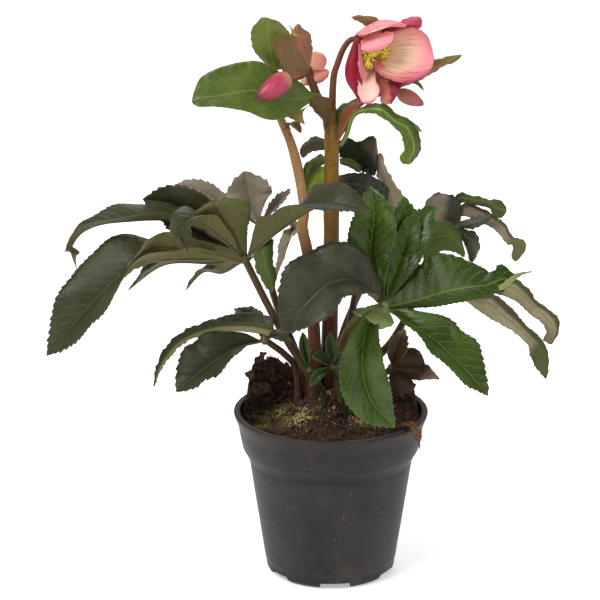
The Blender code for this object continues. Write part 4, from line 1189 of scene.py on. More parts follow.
# Bracts as rows of points from the base to the tip
bractSheets = {
    "leafy": [
        [(-7.1, 4, 329.5), (-6.5, 3, 329.2), (-7.1, 2, 328.6)],
        [(-14, 0, 332.3), (-14, -3, 329.6), (-15.2, -4, 325.1)],
        [(-20.9, -2, 339.3), (-22, -8, 329.1), (-25.5, -10, 319.5)],
        [(-30.1, -4, 343.9), (-32.3, -11, 331), (-34.7, -14, 317)],
        [(-39.2, -6, 350.3), (-42.6, -13, 335.1), (-43.8, -17, 318.4)],
        [(-48.4, -7, 354.4), (-51.8, -14, 336.5), (-54.1, -18, 323.1)],
        [(-61, -8, 353.5), (-62.1, -15, 335.6), (-65.5, -18, 325.5)],
        [(-73.6, -9, 350.2), (-74.7, -15, 333.2), (-75.9, -18, 326.7)],
        [(-84.5, -10, 344.5), (-85.1, -15, 332.1), (-85.6, -17, 326.4)],
        [(-90, -12, 336), (-90.6, -15, 329.7), (-89.9, -16, 326.9)],
    ],
    "leafyLobe": [
        [(-14, -5, 325.2), (-18, -5, 322.3), (-26.7, -5, 319.4)],
        [(-18.4, -6, 320.7), (-20.9, -6, 318.4), (-28.4, -6, 316.9)],
        [(-18.4, -7, 315.7), (-19.2, -7, 314.8), (-23.8, -7, 314.5)],
        [(-17.2, -8, 311.9), (-17.7, -8, 312.2), (-18.8, -8, 312.6)],
    ],
    "foldLeft": [
        [(-16.3, -1, 344.3), (-15.8, -1, 346.1), (-15.2, -1, 347.9)],
        [(-20.9, -7, 343.8), (-22.6, -6, 349.7), (-18, -4, 353.9)],
        [(-26.6, -10, 342.9), (-28.9, -10, 353.1), (-20.9, -6, 359.2)],
        [(-31.4, -12, 345.9), (-32.3, -12, 357.1), (-23.4, -8, 364.6)],
        [(-32.8, -13, 355), (-34.6, -13, 363.2), (-25.4, -9, 370.3)],
        [(-36.8, -14, 361.1), (-36.3, -13, 367.4), (-28.8, -10, 371.3)],
        [(-37.6, -14, 366.4), (-36.2, -13, 369.7), (-33.4, -12, 371.3)],
    ],
    "foldRight": [
        [(-16.4, 0.2, 347.9), (-14.9, 0, 348), (-14.6, 1, 348)],
        [(-19.2, -2.8, 353.9), (-15.7, -1, 353.8), (-13.3, 3, 354)],
        [(-22.1, -4.8, 359.2), (-16.9, -1, 359.7), (-12.6, 4, 360.3)],
        [(-24.6, -6.8, 364.6), (-18.6, -2, 366.5), (-13.4, 4, 366.3)],
        [(-26.6, -7.8, 370.3), (-20.9, -2, 371.3), (-15.4, 4, 371.3)],
        [(-25.2, -4.8, 374.6), (-21.1, -2, 374.8), (-18, 2, 373.3)],
        [(-24.1, -2.8, 377.9), (-21.4, -2, 377.7), (-19.7, 0, 376.1)],
    ],
    "foldTip": [
        [(-26.8, -8, 371.9), (-24.3, -8, 370.9), (-20.6, -8, 370.7)],
        [(-26.3, -7, 373.8), (-25.2, -7, 373.6), (-22.9, -7, 372.8)],
        [(-27.2, -6, 376.3), (-26.6, -6, 375.9), (-25.7, -6, 375.5)],
        [(-28, -6, 378.1), (-27.7, -6, 378.1), (-27.4, -6, 377.8)],
    ],
    "arched": [
        [(4.2, 2, 295.3), (5.2, 2, 294.8), (6.8, 2, 294.6)],
        [(8.3, -2, 304.2), (9.6, -3, 304), (11, -2, 303)],
        [(11, -5, 315.5), (12.3, -7, 315), (13.8, -5, 313.6)],
        [(15.8, -8, 322), (16.3, -11, 321.2), (17, -9, 319.1)],
        [(25.8, -11, 327), (25.3, -16, 324.8), (24.6, -14, 321.4)],
        [(34.3, -13, 327.2), (32.8, -19, 324.4), (30.8, -17, 320.2)],
        [(42.9, -16, 321), (40.3, -21, 318.2), (37.8, -19, 315.6)],
        [(51.9, -17, 316.6), (48.3, -23, 314), (43.9, -20, 309.6)],
        [(56.5, -18, 307.5), (51.8, -24, 306.5), (46.1, -20, 303.9)],
        [(57.9, -19, 300.5), (52.9, -24, 300.3), (46.4, -20, 297.7)],
        [(55.6, -20, 295.1), (50.4, -24, 294.1), (44, -20, 294)],
        [(54.1, -20, 290.9), (50, -23, 289.6), (44.5, -20, 287.7)],
    ],
    "archedSpur": [
        [(39.9, -14, 322), (41.9, -15, 320.7), (42.9, -17, 319.7)],
        [(49, -14, 317.7), (50.2, -15, 316), (50.7, -17, 314.5)],
        [(55.2, -15, 313.3), (55.2, -16, 312), (54.5, -17, 310.6)],
        [(59.1, -16, 309.2), (58.9, -16, 309.2), (58.7, -16, 309)],
    ],
    "sheath": [
        [(2.5, 1, 301.3), (3.2, 0, 300), (3.9, -2, 299.8)],
        [(2.1, 2, 309.4), (4.7, -1, 309.2), (8.7, -5, 309.7)],
        [(2.3, 3, 316.5), (6.7, 0, 317.3), (12.3, -6, 317.8)],
        [(5.2, 4, 321.5), (10.3, 1, 321.8), (16.3, -5, 322.8)],
        [(10.8, 5, 323.9), (14.8, 3, 324.4), (18.8, -3, 325.4)],
        [(15.4, 6, 326.7), (17.9, 5, 326.5), (20.9, 2, 326.6)],
    ],
    "sheathBack": [
        [(-5.2, -1, 307.4), (-4.8, -3, 307.2), (-4.2, -3.5, 307.4)],
        [(-5.9, -2, 313.6), (-3.9, -6, 314.2), (0.1, -5, 314.4)],
        [(-11.5, -3, 320.2), (-6.9, -6, 320.4), (-0.2, -5, 319.7)],
        [(-14.7, -3, 324.4), (-9.4, -5, 325.4), (-0.6, -4, 324.6)],
        [(-11.5, -1, 329.2), (-7.4, -2, 329.8), (-1.4, -2, 328.8)],
    ],
    "cap": [
        [(25, 17, 369.5), (28.5, 16, 371), (32, 17, 373.8)],
        [(20.8, 17, 372.6), (24.3, 14.5, 375.5), (28.6, 16, 378)],
        [(17, 17, 375), (19.5, 15.5, 377.6), (22, 16, 379)],
        [(14.2, 17, 376.4), (15, 16.5, 377.9), (16, 17, 378.6)],
        [(12.2, 17, 377.4), (12.6, 17, 377.8), (13, 17, 378.1)],
    ],
    "upright": [
        [(-40.7, 11, 345.5), (-36.1, 10, 344.3), (-29.1, 12, 345.2)],
        [(-46.4, 10, 351.7), (-39.5, 8, 351), (-25.6, 12, 350)],
        [(-50.7, 9, 357.9), (-40.5, 6, 357.4), (-24.5, 12, 355.9)],
        [(-52.6, 9, 365), (-41.7, 6, 364.5), (-25, 12, 362.5)],
        [(-51.8, 9, 372.1), (-42.2, 6, 371.7), (-26.7, 12, 367.3)],
        [(-48.6, 9, 376.3), (-42.2, 7, 376.2), (-30.7, 12, 372.6)],
        [(-44.3, 9, 380.5), (-40.7, 8, 379), (-35.3, 11, 377.2)],
    ],
    "right": [
        [(39.4, 20, 331), (40.9, 19, 330.5), (42.4, 20, 329.3)],
        [(44.3, 19, 336.7), (46.1, 16, 334.4), (48.5, 18, 331.5)],
        [(51.5, 17, 340.4), (53.7, 14, 337.6), (55.3, 16, 334.5)],
        [(60.9, 16, 348.4), (62.7, 12, 343.6), (63.6, 14, 339.4)],
        [(67.3, 14, 350.3), (68.3, 10, 347.4), (70.3, 12, 344.6)],
        [(75.2, 12, 352.5), (76.6, 9, 350.9), (78.6, 10, 348.9)],
        [(81.2, 10, 354.3), (82.3, 9, 353.2), (83.1, 9, 351.8)],
        [(84.4, 9, 355), (84.6, 9, 354.4), (84.6, 9, 353.7)],
    ],
    "rightSpur": [
        [(51.4, 12, 337.3), (52.1, 12, 335.8), (53.3, 12, 334.6)],
        [(55.9, 11, 337), (55.9, 11, 335.3), (55.9, 11, 333.8)],
        [(59.1, 10, 333.6), (58.6, 10, 332.8), (57.8, 10, 332.1)],
        [(60.7, 10, 330), (60.5, 10, 329.8), (60.3, 10, 329.8)],
    ],
    "lime": [
        [(-17.8, 4, 257), (-15.7, 3, 256.8), (-7.5, 6, 257.5)],
        [(-16.2, 8, 265.4), (-14.2, 7, 264.7), (-5.3, 10, 264.9)],
        [(-14.2, 14, 271.2), (-10.1, 13, 271.5), (-4, 16, 272.8)],
        [(-10.1, 18, 276), (-7, 18, 276.5), (-2.4, 20, 277)],
    ],
    "limeBack": [
        [(-17.6, 3, 257.3), (-17, 2, 257.6), (-16.5, 2, 257.6)],
        [(-18.4, 7, 270.5), (-16.7, 5, 270.6), (-14.7, 6, 268.7)],
        [(-18.2, 10, 278.8), (-15.2, 8, 277.2), (-11.6, 11, 273.4)],
        [(-13.7, 14, 282.5), (-10.6, 12, 280.6), (-6.5, 16, 277.5)],
        [(-6.5, 20, 285), (-4.5, 18, 283), (-2.4, 20, 278.5)],
    ],
}
stalkLeft = {
    "foot": (-13, -1),
    "shoots": [
        (4.2, 2.6, [
            (-11, -2, 158), (-15, 0, 217), (-19, 1, 238), (-18, 2, 252), (-21, 4, 273), (-26, 6, 294),
            (-33, 8, 311), (-40, 10, 328), (-40, 11, 341),
        ]),
    ],
    "bracts": [(8, upward, brownBract, [(-30, 7, 305), (-26, 3, 310), (-20, -2, 305)])],
    "knots": [((-19, 1, 237), (4, 3.6, 3.4)), ((-30, 7, 305), (3.2, 3, 2.6))],
}


def makeStalk(name, stalk, stemColours, seed):
    piece = startPiece()
    slots = {}
    materials = [stemFinish(name + " stem", *stemColours[0]), stemFinish(name + " shoots", *stemColours[1])]
    for number, (start, end, points) in enumerate(stalk["shoots"]):
        if number:
            addTube(piece, points, [start, 0.5 * (start + end), end], 1, 0.5, 18, 1.2, 0.06, seed + number)
        else:
            route = [(*stalk["foot"], footBelow), (*stalk["foot"], footTop), *points]
            middle = 0.5 * (start + end)
            upper = [0.97 * start, 0.5 * (start + middle), middle, middle, end, end]
            radii = [start * 1.45, start * 1.15, start, *upper]
            addTube(piece, route, radii, 0, 0.5, 30, 1.3, 0.05, seed)
    for centre, radii in stalk["knots"]:
        addBall(piece, centre, radii, 0, 0.5, seed, 0.15, 12, 18)
    for number, (width, face, look, points) in enumerate(stalk["bracts"]):
        if look["name"] not in slots:
            slots[look["name"]] = len(materials)
            title = name + " " + look["name"]
            materials.append(bladeFinish(title + " bract", look, bractForm))
            materials.append(plainFinish(title + " rib", look["vein"], look["lowerVein"], 120, 0.45))
        slot = slots[look["name"]]
        addBlade(piece, points, width, face, bractForm, slot, slot + 1, seed * 41 + number)
    for number, (rows, look, taper, towards) in enumerate(stalk.get("sheets", ())):
        materials.append(bladeFinish(name + " folded bract " + str(number), look, bractForm))
        edge = dict(bractForm, toothDepth=look.get("teeth", 0.35), quilt=0.18)
        detail = sheetDetail(rows, 24, 84, 30)
        addSheet(piece, rows, len(materials) - 1, towards, number, 0.5, detail, taper, 0.4, 0.4, edge)
    return buildPiece(piece, name + "_grown", materials, [name])


stalkMain["sheets"] = [
    # rows, look, where the tip begins to narrow, where the upper face looks
    (bractSheets["leafy"], greenBract, 0.86, inFront),
    (bractSheets["leafyLobe"], oliveBract, 0.6, behind),
    (bractSheets["foldLeft"], brownBract, 0.85, inFront),
    (bractSheets["foldRight"], rosyBract, 0.7, inFront),
    (bractSheets["foldTip"], oliveBract, 0.6, inFront),
    (bractSheets["arched"], archedBract, 0.93, inFront),
    (bractSheets["archedSpur"], greenBract, 0.6, inFront),
    (bractSheets["sheath"], sheathBract, 0.8, inFront),
    (bractSheets["sheathBack"], forkBract, 0.97, inFront),
    (bractSheets["cap"], capBract, 0.55, behind),
    (bractSheets["right"], rightBract, 0.8, inFront),
    (bractSheets["rightSpur"], greenBract, 0.6, inFront),
]
stalkLeft["sheets"] = [
    (bractSheets["upright"], uprightBract, 0.92, inFront),
    (bractSheets["lime"], limeBract, 0.97, inFront), (bractSheets["limeBack"], greenBract, 0.97, inFront),
]
# low, high and fleck colours, share of flecks, heights (m) between the colours, roughness, streaks
# the main stem's very dark low colour, with its split set high up under the leaves, is partly its own
# red-brown and partly painted shade from the leaves above
mainStem = ((44, 11, 4), (136, 104, 36), (88, 44, 20), 0.8, (0.18, 0.29), 0.45, (84, 42, 20))
leftStem = ((72, 22, 10), (176, 138, 88), (124, 84, 52), 0.6, (0.2, 0.27), 0.45, (112, 66, 36))
shoots = ((84, 44, 32), (104, 60, 44), (140, 92, 62), 0.3)
makeStalk("stalk_main", stalkMain, (mainStem, shoots), 21)
makeStalk("stalk_left", stalkLeft, (leftStem, shoots), 22)
print("stalks grown")

# The open bloom looks to the right, down and to the front
bloomCentre = np.array((21, 9, 360), float)
bloomAxis = unit((0.42, -0.82, -0.38))


def petalFinish(name, look):
    # inner and outer faces, each from its base to its tip, with fine streaks and a coloured edge
    material, tree, shader = newFinish(name, look.get("gloss", 0.45), Specular_IOR_Level=0.28)
    lay = kept(tree, "lay")
    side = kept(tree, "side")
    along, across, half = parts(tree, lay)[:]
    d = calc(tree, "ABSOLUTE", across)
    share = calc(tree, "DIVIDE", across, half)
    spread = calc(tree, "MULTIPLY", share, look.get("streaks", 9.0))
    slow = calc(tree, "MULTIPLY", along, 0.05)
    layer = calc(tree, "MULTIPLY", side, 4.0)
    fan = put(tree, "ShaderNodeCombineXYZ", {"X": spread, "Y": slow, "Z": layer}).outputs[0]
    streak = span(tree, cloud(tree, 1.0, 4, 0.65, fan), 0.44, 0.62)
    wander = calc(tree, "MULTIPLY", calc(tree, "SUBTRACT", cloud(tree, 90, 3), 0.5), 10.0)
    run = calc(tree, "ADD", along, wander)
    reach = span(tree, run, look["from"], look["to"])
    inner = blend(tree, reach, look["inner"], look["innerTip"])
    drawn = calc(tree, "MULTIPLY", streak, look.get("streakShare", 0.4))
    inner = blend(tree, drawn, inner, look["streak"])
    outer = blend(tree, reach, look["outer"], look["outerTip"])
    drawn = calc(tree, "MULTIPLY", streak, 0.45)
    outer = blend(tree, drawn, outer, look.get("outerStreak", look["outerTip"]))
    both = blend(tree, side, outer, inner)
    for key in ("blush", "blushToo"):
        if key in look:
            # a flush over one side of the petal, drawn out along the veins
            start, end, most = look[key + "At"]
            sway = calc(tree, "SUBTRACT", streak, 0.5)
            lean = calc(tree, "MULTIPLY_ADD", sway, 0.3 if end > 0 else -0.3, share)
            both = blend(tree, span(tree, lean, start, end, 0, most), both, look[key])
    if "lip" in look:
        both = blend(tree, span(tree, kept(tree, "tone"), *look["lipAt"]), both, look["lip"])
    room = calc(tree, "MULTIPLY_ADD", streak, 0.8, calc(tree, "SUBTRACT", half, d))
    rim = span(tree, room, 0.1, look.get("edgeWidth", 2.5), look.get("edgeShare", 0.8), 0)
    both = blend(tree, rim, both, look["edge"])
    tree.links.new(both, shader.inputs["Base Color"])
    relief(tree, shader, calc(tree, "ADD", streak, cloud(tree, 500, 2)), 0.15, 0.5)
    return material


creamPetal = {
    "inner": (248, 226, 184), "innerTip": (240, 186, 170), "streak": (228, 146, 138),
    "outer": (190, 90, 104), "outerTip": (176, 60, 84), "edge": (186, 66, 100), "from": 12, "to": 44,
    "edgeWidth": 3.2, "edgeShare": 0.55,
}
bigPetal = dict(
    creamPetal, inner=(246, 222, 184), innerTip=(226, 140, 146), streak=(226, 160, 146), streakShare=0.2,
    streaks=13.0, blush=(178, 40, 88), blushAt=(0.25, 1.05, 0.95), blushToo=(212, 110, 118),
    blushTooAt=(-0.1, -1.0, 0.8), to=46, **{"from": 24},
)
coralPetal = dict(
    creamPetal, outer=(214, 92, 104), outerTip=(238, 140, 150), outerStreak=(196, 72, 92),
    edge=(226, 130, 138), edgeWidth=1.1, lip=(250, 226, 222), lipAt=(0.955, 0.985),
)
palePink = dict(
    creamPetal, inner=(214, 96, 110), innerTip=(240, 146, 158), outer=(224, 112, 124),
    outerTip=(242, 150, 160), outerStreak=(246, 180, 186), streak=(244, 176, 184), edge=(238, 170, 176),
    edgeWidth=1.0, to=14, **{"from": 0},
)
crimsonPetal = dict(
    creamPetal, outer=(120, 10, 26), outerTip=(146, 22, 44), outerStreak=(160, 44, 66),
    edge=(176, 64, 88), edgeWidth=1.0, inner=(236, 200, 180), innerTip=(230, 170, 170),
)
foldPetal = dict(
    creamPetal, inner=(222, 128, 138), innerTip=(196, 84, 106), outer=(216, 120, 132),
    outerTip=(196, 90, 110), edge=(236, 180, 176), edgeWidth=0.8,
)
palePetal = dict(
    creamPetal, inner=(250, 226, 190), innerTip=(252, 208, 194), streak=(246, 190, 178),
    edge=(206, 84, 112), edgeWidth=1.3, blush=(226, 110, 140), blushAt=(0.45, 1.1, 0.6),
    lip=(206, 74, 108), lipAt=(0.9, 1.0),
)
# the lower petal: its inside is painted brownish pink, darker than the cream inside of the other petals, as
# painted shade
brownPetal = dict(
    creamPetal, inner=(176, 122, 84), innerTip=(190, 112, 96), streak=(132, 66, 66), outer=(150, 50, 66),
    outerTip=(160, 60, 76), edge=(150, 60, 72), edgeWidth=1.0, lip=(214, 120, 132), lipAt=(0.85, 1.0),
)
crimsonOut = dict(brownPetal, inner=(122, 26, 44), innerTip=(158, 54, 76), streak=(168, 74, 88))
crimsonBack = dict(
    creamPetal, inner=(150, 36, 58), innerTip=(178, 64, 88), outer=(150, 40, 60), outerTip=(176, 62, 86),
    streak=(196, 88, 106), edge=(160, 40, 68),
)
# Each sepal is its look and rows of points from its base to its tip.
sepals = [
    (bigPetal, [
        [(22.4, 8, 362.1), (22.8, 9, 361.1), (23.1, 9, 360.3), (22.9, 8, 359.7), (22.5, 6, 359.5)],
        [(32.9, 4, 368.3), (32.2, 6, 362.6), (30.3, 5, 357.3), (27.6, 1, 354.4), (25.3, -4, 351.8)],
        [(40.3, -1, 372.4), (40.9, 2, 364.3), (39.4, 0, 357), (35.9, -6, 350.7), (30.8, -13, 347)],
        [(48.4, -6, 375.9), (49.9, -3, 367.1), (49.2, -4, 358), (45.6, -10, 350.2), (39.4, -18, 344)],
        [
            (56.6, -10, 376.1), (58.7, -7, 367.3), (58.8, -8, 358.2), (55.3, -13, 350.6),
            (49.4, -20, 343.2),
        ],
        [
            (62.9, -13, 372.4), (64.7, -12, 364.6), (65.7, -13, 357.1), (65.3, -16, 350.6),
            (59.6, -20, 344.3),
        ],
    ]),
    (coralPetal, [
        [(20.2, 11, 359.9), (20.7, 12, 360), (21.1, 13, 360), (21.6, 13, 359.8), (22, 12, 359.8)],
        [(16.6, 4, 366.6), (22.4, 8, 370.3), (30.6, 11, 372.7), (38.9, 10, 373), (44.5, 5, 372.6)],
        [(15.5, -6, 372.1), (22.5, -5, 377), (31.5, -3, 380.4), (40.5, -4, 380.1), (47.6, -6, 377.9)],
        [
            (15.9, -14, 373.6), (22.7, -16, 377.5), (31.7, -15, 380.8), (40.3, -13, 380.9),
            (47.5, -10, 377.9),
        ],
        [
            (16.6, -18, 372.1), (22.3, -22, 375.6), (28.6, -22, 378.2), (36.9, -19, 379.7),
            (46.4, -12, 376.6),
        ],
    ]),
    (palePink, [
        [(17.3, -6, 364.3), (18.8, -5, 367.6), (22.3, -5, 370.5), (27.4, -5, 372.2)],
        [(17.9, -13, 364), (22.2, -17, 367.8), (27.2, -18, 371.5), (33.3, -12, 374.5)],
        [(23.9, -17, 362.9), (28.3, -21, 366.7), (32.8, -21, 370), (38.9, -14, 375.3)],
        [(31.8, -17, 364.3), (35.1, -20, 367.7), (38.3, -19, 370), (40, -15, 374.2)],
    ]),
    (crimsonPetal, [
        [(20.5, 12, 360), (20.8, 11, 360.6), (20.9, 9, 361.4), (21.2, 8, 361.8)],
        [(17, 9, 365), (15.3, 3, 366.5), (15.8, -5, 369.1), (19.8, -5, 369.6)],
        [(13.2, 6, 358), (11.5, -3, 359.4), (14.1, -9, 361), (20.4, -7, 361.6)],
        [(10.8, 3, 348.6), (8.6, -6, 350), (12, -12, 351.6), (20.2, -9, 352.2)],
        [(10.9, -1, 340.3), (9.4, -8, 341.3), (12.8, -14, 342), (19.8, -10, 342.2)],
        [(15, -8, 334), (15, -11, 333), (16.2, -15, 331.6), (18.4, -15.5, 331)],
        [(17.2, -11, 329.2), (17.5, -13, 328.8), (18, -17, 328.6), (19.4, -19, 328.8)],
    ]),
    (foldPetal, [
        [(17, -14, 367.4), (17.9, -11, 366.7), (18.6, -9, 366.2)],
        [(16.9, -18, 359.2), (18.3, -15, 358.4), (19.4, -12, 357.3)],
        [(17.3, -19.5, 351.1), (19.4, -17, 350.5), (21.4, -14, 350.1)],
        [(18.2, -19.5, 346.1), (20.6, -18, 344.6), (23, -16, 345.2)],
    ]),
    (palePetal, [
        [(20.8, 12, 359.6), (21.3, 12, 359.2), (21.7, 12, 358.7), (22.3, 11, 358.6)],
        [(18.6, 3, 354.8), (21.2, 7, 353.4), (24.2, 8, 352), (27.2, 7, 351.1)],
        [(17.2, -5, 349), (20.4, 3, 347.4), (24.2, 5, 346.2), (28.3, 2, 345.7)],
        [(16.6, -12, 343.1), (20.1, -7, 341.8), (24.1, -5, 341.3), (28.4, -8, 342)],
        [(16.6, -17, 335.9), (20.3, -14, 333.9), (25.2, -12, 334.6), (30.6, -12, 338.4)],
        [(17.6, -19, 328.7), (21.4, -18, 328.3), (26.7, -17, 329.2), (33.5, -14, 334.3)],
    ]),
    (brownPetal, [
        [(21.6, 12, 358.7), (22, 12, 358.4), (22.5, 12, 358.4), (22.9, 12, 358.5)],
        [(27.2, 2, 345.7), (30.7, 6, 343.6), (34.5, 6, 342), (37.1, 2, 341.5)],
        [(27.9, -5, 342.1), (31.4, 0, 339.3), (35.8, -4, 339.5), (38.4, -7, 339.9)],
        [(29.9, -9, 337.7), (33.6, -6, 335.7), (36.9, -9, 335.7), (38.8, -12, 336.1)],
        [(31.1, -12, 332.6), (33.9, -11, 331.6), (36.5, -13, 331.7), (38.6, -14, 331.6)],
        [(29.7, -13, 327.1), (33.5, -13, 327.1), (36.2, -13, 326.7), (38.4, -14, 326.9)],
    ]),
    (crimsonOut, [
        [(34.4, 0, 343.1), (39.1, -3, 343.4), (47.8, -6, 343.2)],
        [(36.5, -8, 340.5), (41.3, -10, 341), (48, -11, 341.6)],
        [(37.4, -12, 336.1), (40.6, -14, 336.8), (44.1, -16, 338.2)],
        [(37.8, -14, 331.2), (39.9, -15, 331.9), (41.7, -16, 333.7)],
        [(36.9, -15, 327), (38.2, -15, 327.5), (39.2, -15, 328.4)],
    ]),
    (crimsonBack, [
        [(22.5, 12, 360.8), (23.1, 13, 360.6), (23.5, 13, 360.2), (23.9, 12, 360)],
        [(36.6, 9, 374), (37.4, 8, 373), (38.1, 7, 371.3), (38.9, 8, 369.1)],
        [(44.8, 5, 378), (45.9, 0, 377.6), (47, -2, 376.2), (47.8, 0, 373.8)],
        [(51.6, 5, 381.1), (53.1, -1, 380.2), (54.1, -3, 377.6), (54.5, -1, 373.6)],
        [(56.3, 5, 381.9), (57.9, 2, 379.9), (58.1, 0, 376.9), (57, 1, 373)],
    ]),
]


def directions(axis, count, degrees, turn=0.0):
    axis = Vector(axis)
    sideways = axis.orthogonal().normalized()
    angle = math.radians(degrees)
    found = []
    for k in range(count):
        around = Matrix.Rotation(turn + 2 * math.pi * k / count, 3, axis)
        found.append(np.array(axis * math.cos(angle) + (around @ sideways) * math.sin(angle)))
    return found


def makeSepals():
    piece = startPiece()
    addBall(piece, bloomCentre, (4, 4, 4), 0, 0.5, 3, 0.2, 12, 18)
    materials = [plainFinish("bloom base", (146, 128, 74), (180, 120, 96), 200)]
    for number, (look, rows) in enumerate(sepals):
        materials.append(petalFinish("petal " + str(number + 1), look))
        addSheet(piece, rows, number + 1, bloomCentre + 16 * bloomAxis, number, 0.32, (56, 46))
    return buildPiece(piece, "sepals_grown", materials, ["bloom_sepals"])


# Stamens stand in cones round the bloom's axis
stamens = {
    "rise": 7.2,
    "lift": (0, 0, 3.6),
    "length": 10,
    "nectaries": (11, 62),
    # how many, degrees from the axis, share of the length
    "cones": ((76, 68, 0.82), (70, 56, 0.88), (60, 44, 0.92), (50, 32, 0.95), (40, 18, 0.98)),
    "thread": [0.32, 0.26, 0.2],
    "anther": (0.74, 0.62, 1.1),
}


def makeStamens():
    dice = random.Random(7)
    piece = startPiece()
    root = bloomCentre + stamens["rise"] * bloomAxis + stamens["lift"]
    route = [root, root + bloomAxis, root + 2 * bloomAxis]
    addTube(piece, route, [4.2, 4.0, 3.4], 0, 0.5, 24, 0.5, 0.1, 1)
    addBall(piece, root + 4.5 * bloomAxis, (4.6, 4.6, 3.6), 2, 0.4, 3, 0.5, 26, 36, bloomAxis)
    for way in directions(bloomAxis, *stamens["nectaries"], 0.2):
        # nectaries: short horns round the outside
        out = unit(way - bloomAxis * float(dot(way, bloomAxis)[0]))
        start = root + 3.4 * out + 0.5 * bloomAxis
        route = [start, start + 1.4 * way, start + 2.6 * way + bloomAxis]
        addTube(piece, route, [0.7, 0.9, 0.6], 1, 0.5, 8, 0.6)
    for count, degrees, length in stamens["cones"]:
        for way in directions(bloomAxis, count, degrees, degrees):
            way = unit(way + 0.13 * np.array([dice.gauss(0, 1) for _ in range(3)]))
            out = unit(way - bloomAxis * float(dot(way, bloomAxis)[0]))
            start = root + 1.2 * bloomAxis + (1.8 + 1.3 * dice.random()) * out
            reach = stamens["length"] * length * (0.85 + 0.25 * dice.random())
            sag = np.array((0, 0, -0.6)) * dice.random()
            end = start + reach * way + sag
            route = [start, start + 0.5 * reach * way, end]
            addTube(piece, route, stamens["thread"], 0, dice.random(), 6, 1.6)
            addBall(piece, end, stamens["anther"], 2, dice.random(), dice.random() * 9, 0.2, 6, 8, way)
    materials = [
        plainFinish("stamen threads", (234, 214, 104), (244, 230, 140), 300, 0.5),
        plainFinish("nectaries", (196, 196, 84), (220, 214, 110), 300, 0.35),
        plainFinish("anthers", (238, 212, 56), (255, 244, 120), 900, 0.7, 0.2),
    ]
    return buildPiece(piece, "stamens_grown", materials, ["bloom_stamens"])


# Styles come out of the stamens low on the right, bend round and spread
styles = {
    "ends": ((36, -7, 356), (35, -8, 354.2), (33.4, -9, 351.4), (30.6, -9, 351), (31.8, -10, 352.4)),
    "bends": ((27.4, -3, 355.4), (29.4, -5.5, 354.4), (29.8, -6, 354.2)), "apart": 0.3,
    "radii": [1.2, 0.9, 0.5, 0.36, 0.3, 0.34],
}


def makeStyles():
    piece = startPiece()
    root = bloomCentre + 4.2 * bloomAxis
    addTube(piece, [root, root + 2 * bloomAxis, root + 4 * bloomAxis], [1.3, 1.5, 1.3], 0, 0.5, 14, 0.5)
    low, turn, high = styles["bends"]
    for number, end in enumerate(styles["ends"]):
        end = np.array(end, float)
        apart = (turn[0] + styles["apart"] * number, *turn[1:])
        route = [root + 3 * bloomAxis, low, apart, 0.4 * np.array(high) + 0.6 * end, end]
        addTube(piece, route, styles["radii"], 1, 0.2 * number, 12, 0.8)
        addBall(piece, end, (0.5, 0.5, 0.42), 1, 1, number, 0.1, 7, 10)
    materials = [
        plainFinish("carpels", (170, 176, 80), (150, 150, 70), 200),
        plainFinish("styles", (186, 62, 58), (206, 92, 80), 300, 0.4),
    ]
    return buildPiece(piece, "styles_grown", materials, ["bloom_styles"])


halfOpenLook = dict(
    creamPetal, inner=(244, 200, 172), innerTip=(236, 146, 136), streak=(236, 150, 140), streakShare=0.25,
    lip=(214, 84, 104), lipAt=(0.86, 1.0), outer=(236, 190, 150), outerTip=(226, 146, 130),
    outerStreak=(224, 128, 124), edge=(196, 54, 86), edgeWidth=1.0, to=13, **{"from": 4},
)
# The half-open bloom shows an upper and a lower sepal, and blades stand behind them
halfOpenSheets = [
    [
        [(-17.9, 13, 344.1), (-17.1, 12, 345.2), (-16.7, 11, 344.6), (-17.1, 10, 344)],
        [(-14.7, 15, 350.2), (-12.3, 11, 351.1), (-11.5, 9, 348.4), (-13.1, 8, 344.7)],
        [(-12.3, 16, 354.8), (-8.3, 12, 353.3), (-7.5, 9, 349.2), (-8.3, 8, 344.5)],
        [(-7.5, 17, 355), (-4.3, 14, 352.9), (-3.1, 11, 348.7), (-3.9, 9, 344.3)],
    ],
    [
        [(-17.9, 13, 342.5), (-18.3, 12, 341.1), (-19.1, 11, 340.1), (-20.3, 11, 339.3)],
        [(-13.5, 12, 343.5), (-13.9, 8, 341.3), (-15.9, 7, 338.3), (-19.5, 9, 334.9)],
        [(-7.5, 12, 344.8), (-7.5, 7, 341.5), (-9.9, 6, 338.1), (-15.5, 9, 333.8)],
        [(-2, 13, 344.5), (-1.6, 9, 341.8), (-3.5, 8, 338.8), (-9.1, 10, 335.1)],
    ],
]


def makeHalfOpen():
    piece = startPiece()
    centre = np.array((-16, 13.8, 343), float)
    axis = unit((0.8, 0.6, 0.1))
    addBall(piece, centre, (3, 3, 3), 0, 0.5, 2, 0.2, 12, 16)
    for number, rows in enumerate(halfOpenSheets):
        addSheet(piece, rows, 1, centre + 9 * axis + np.array((0, 6, 0)), number, 0.32, (34, 34))
    form = dict(sepalForm, fold=28)
    for number, way in enumerate(directions(axis, 5, 58, 0.5)):
        inner = centre + 7 * way
        if inner[1] < centre[1]:
            continue
        tip = inner + 9 * unit(0.5 * way + axis)
        route = [tuple(centre + 1.6 * way), tuple(inner), tuple(tip)]
        addBlade(piece, route, 13, tuple(axis), form, 1, None, 70 + number)
    materials = [
        plainFinish("half open base", (150, 140, 80), (190, 130, 100), 200),
        petalFinish("half open petals", halfOpenLook),
    ]
    return buildPiece(piece, "half_open_grown", materials, ["bloom_half_open"])


budFront = {
    "base": (-27.2, -14.4, 346.4), "tip": (-48.6, -29, 334.2), "radius": 6.4,
    "colours": {
        "base": (204, 160, 96), "middle": (178, 52, 84), "tip": (74, 14, 24), "seam": (120, 22, 48),
    },
}
budRight = {
    "base": (43.2, 18.9, 327.4), "tip": (60.4, 15, 319.4), "radius": 4.6,
    "colours": {
        "base": (160, 128, 74), "middle": (190, 110, 96), "tip": (164, 50, 64), "seam": (132, 52, 56),
    },
}


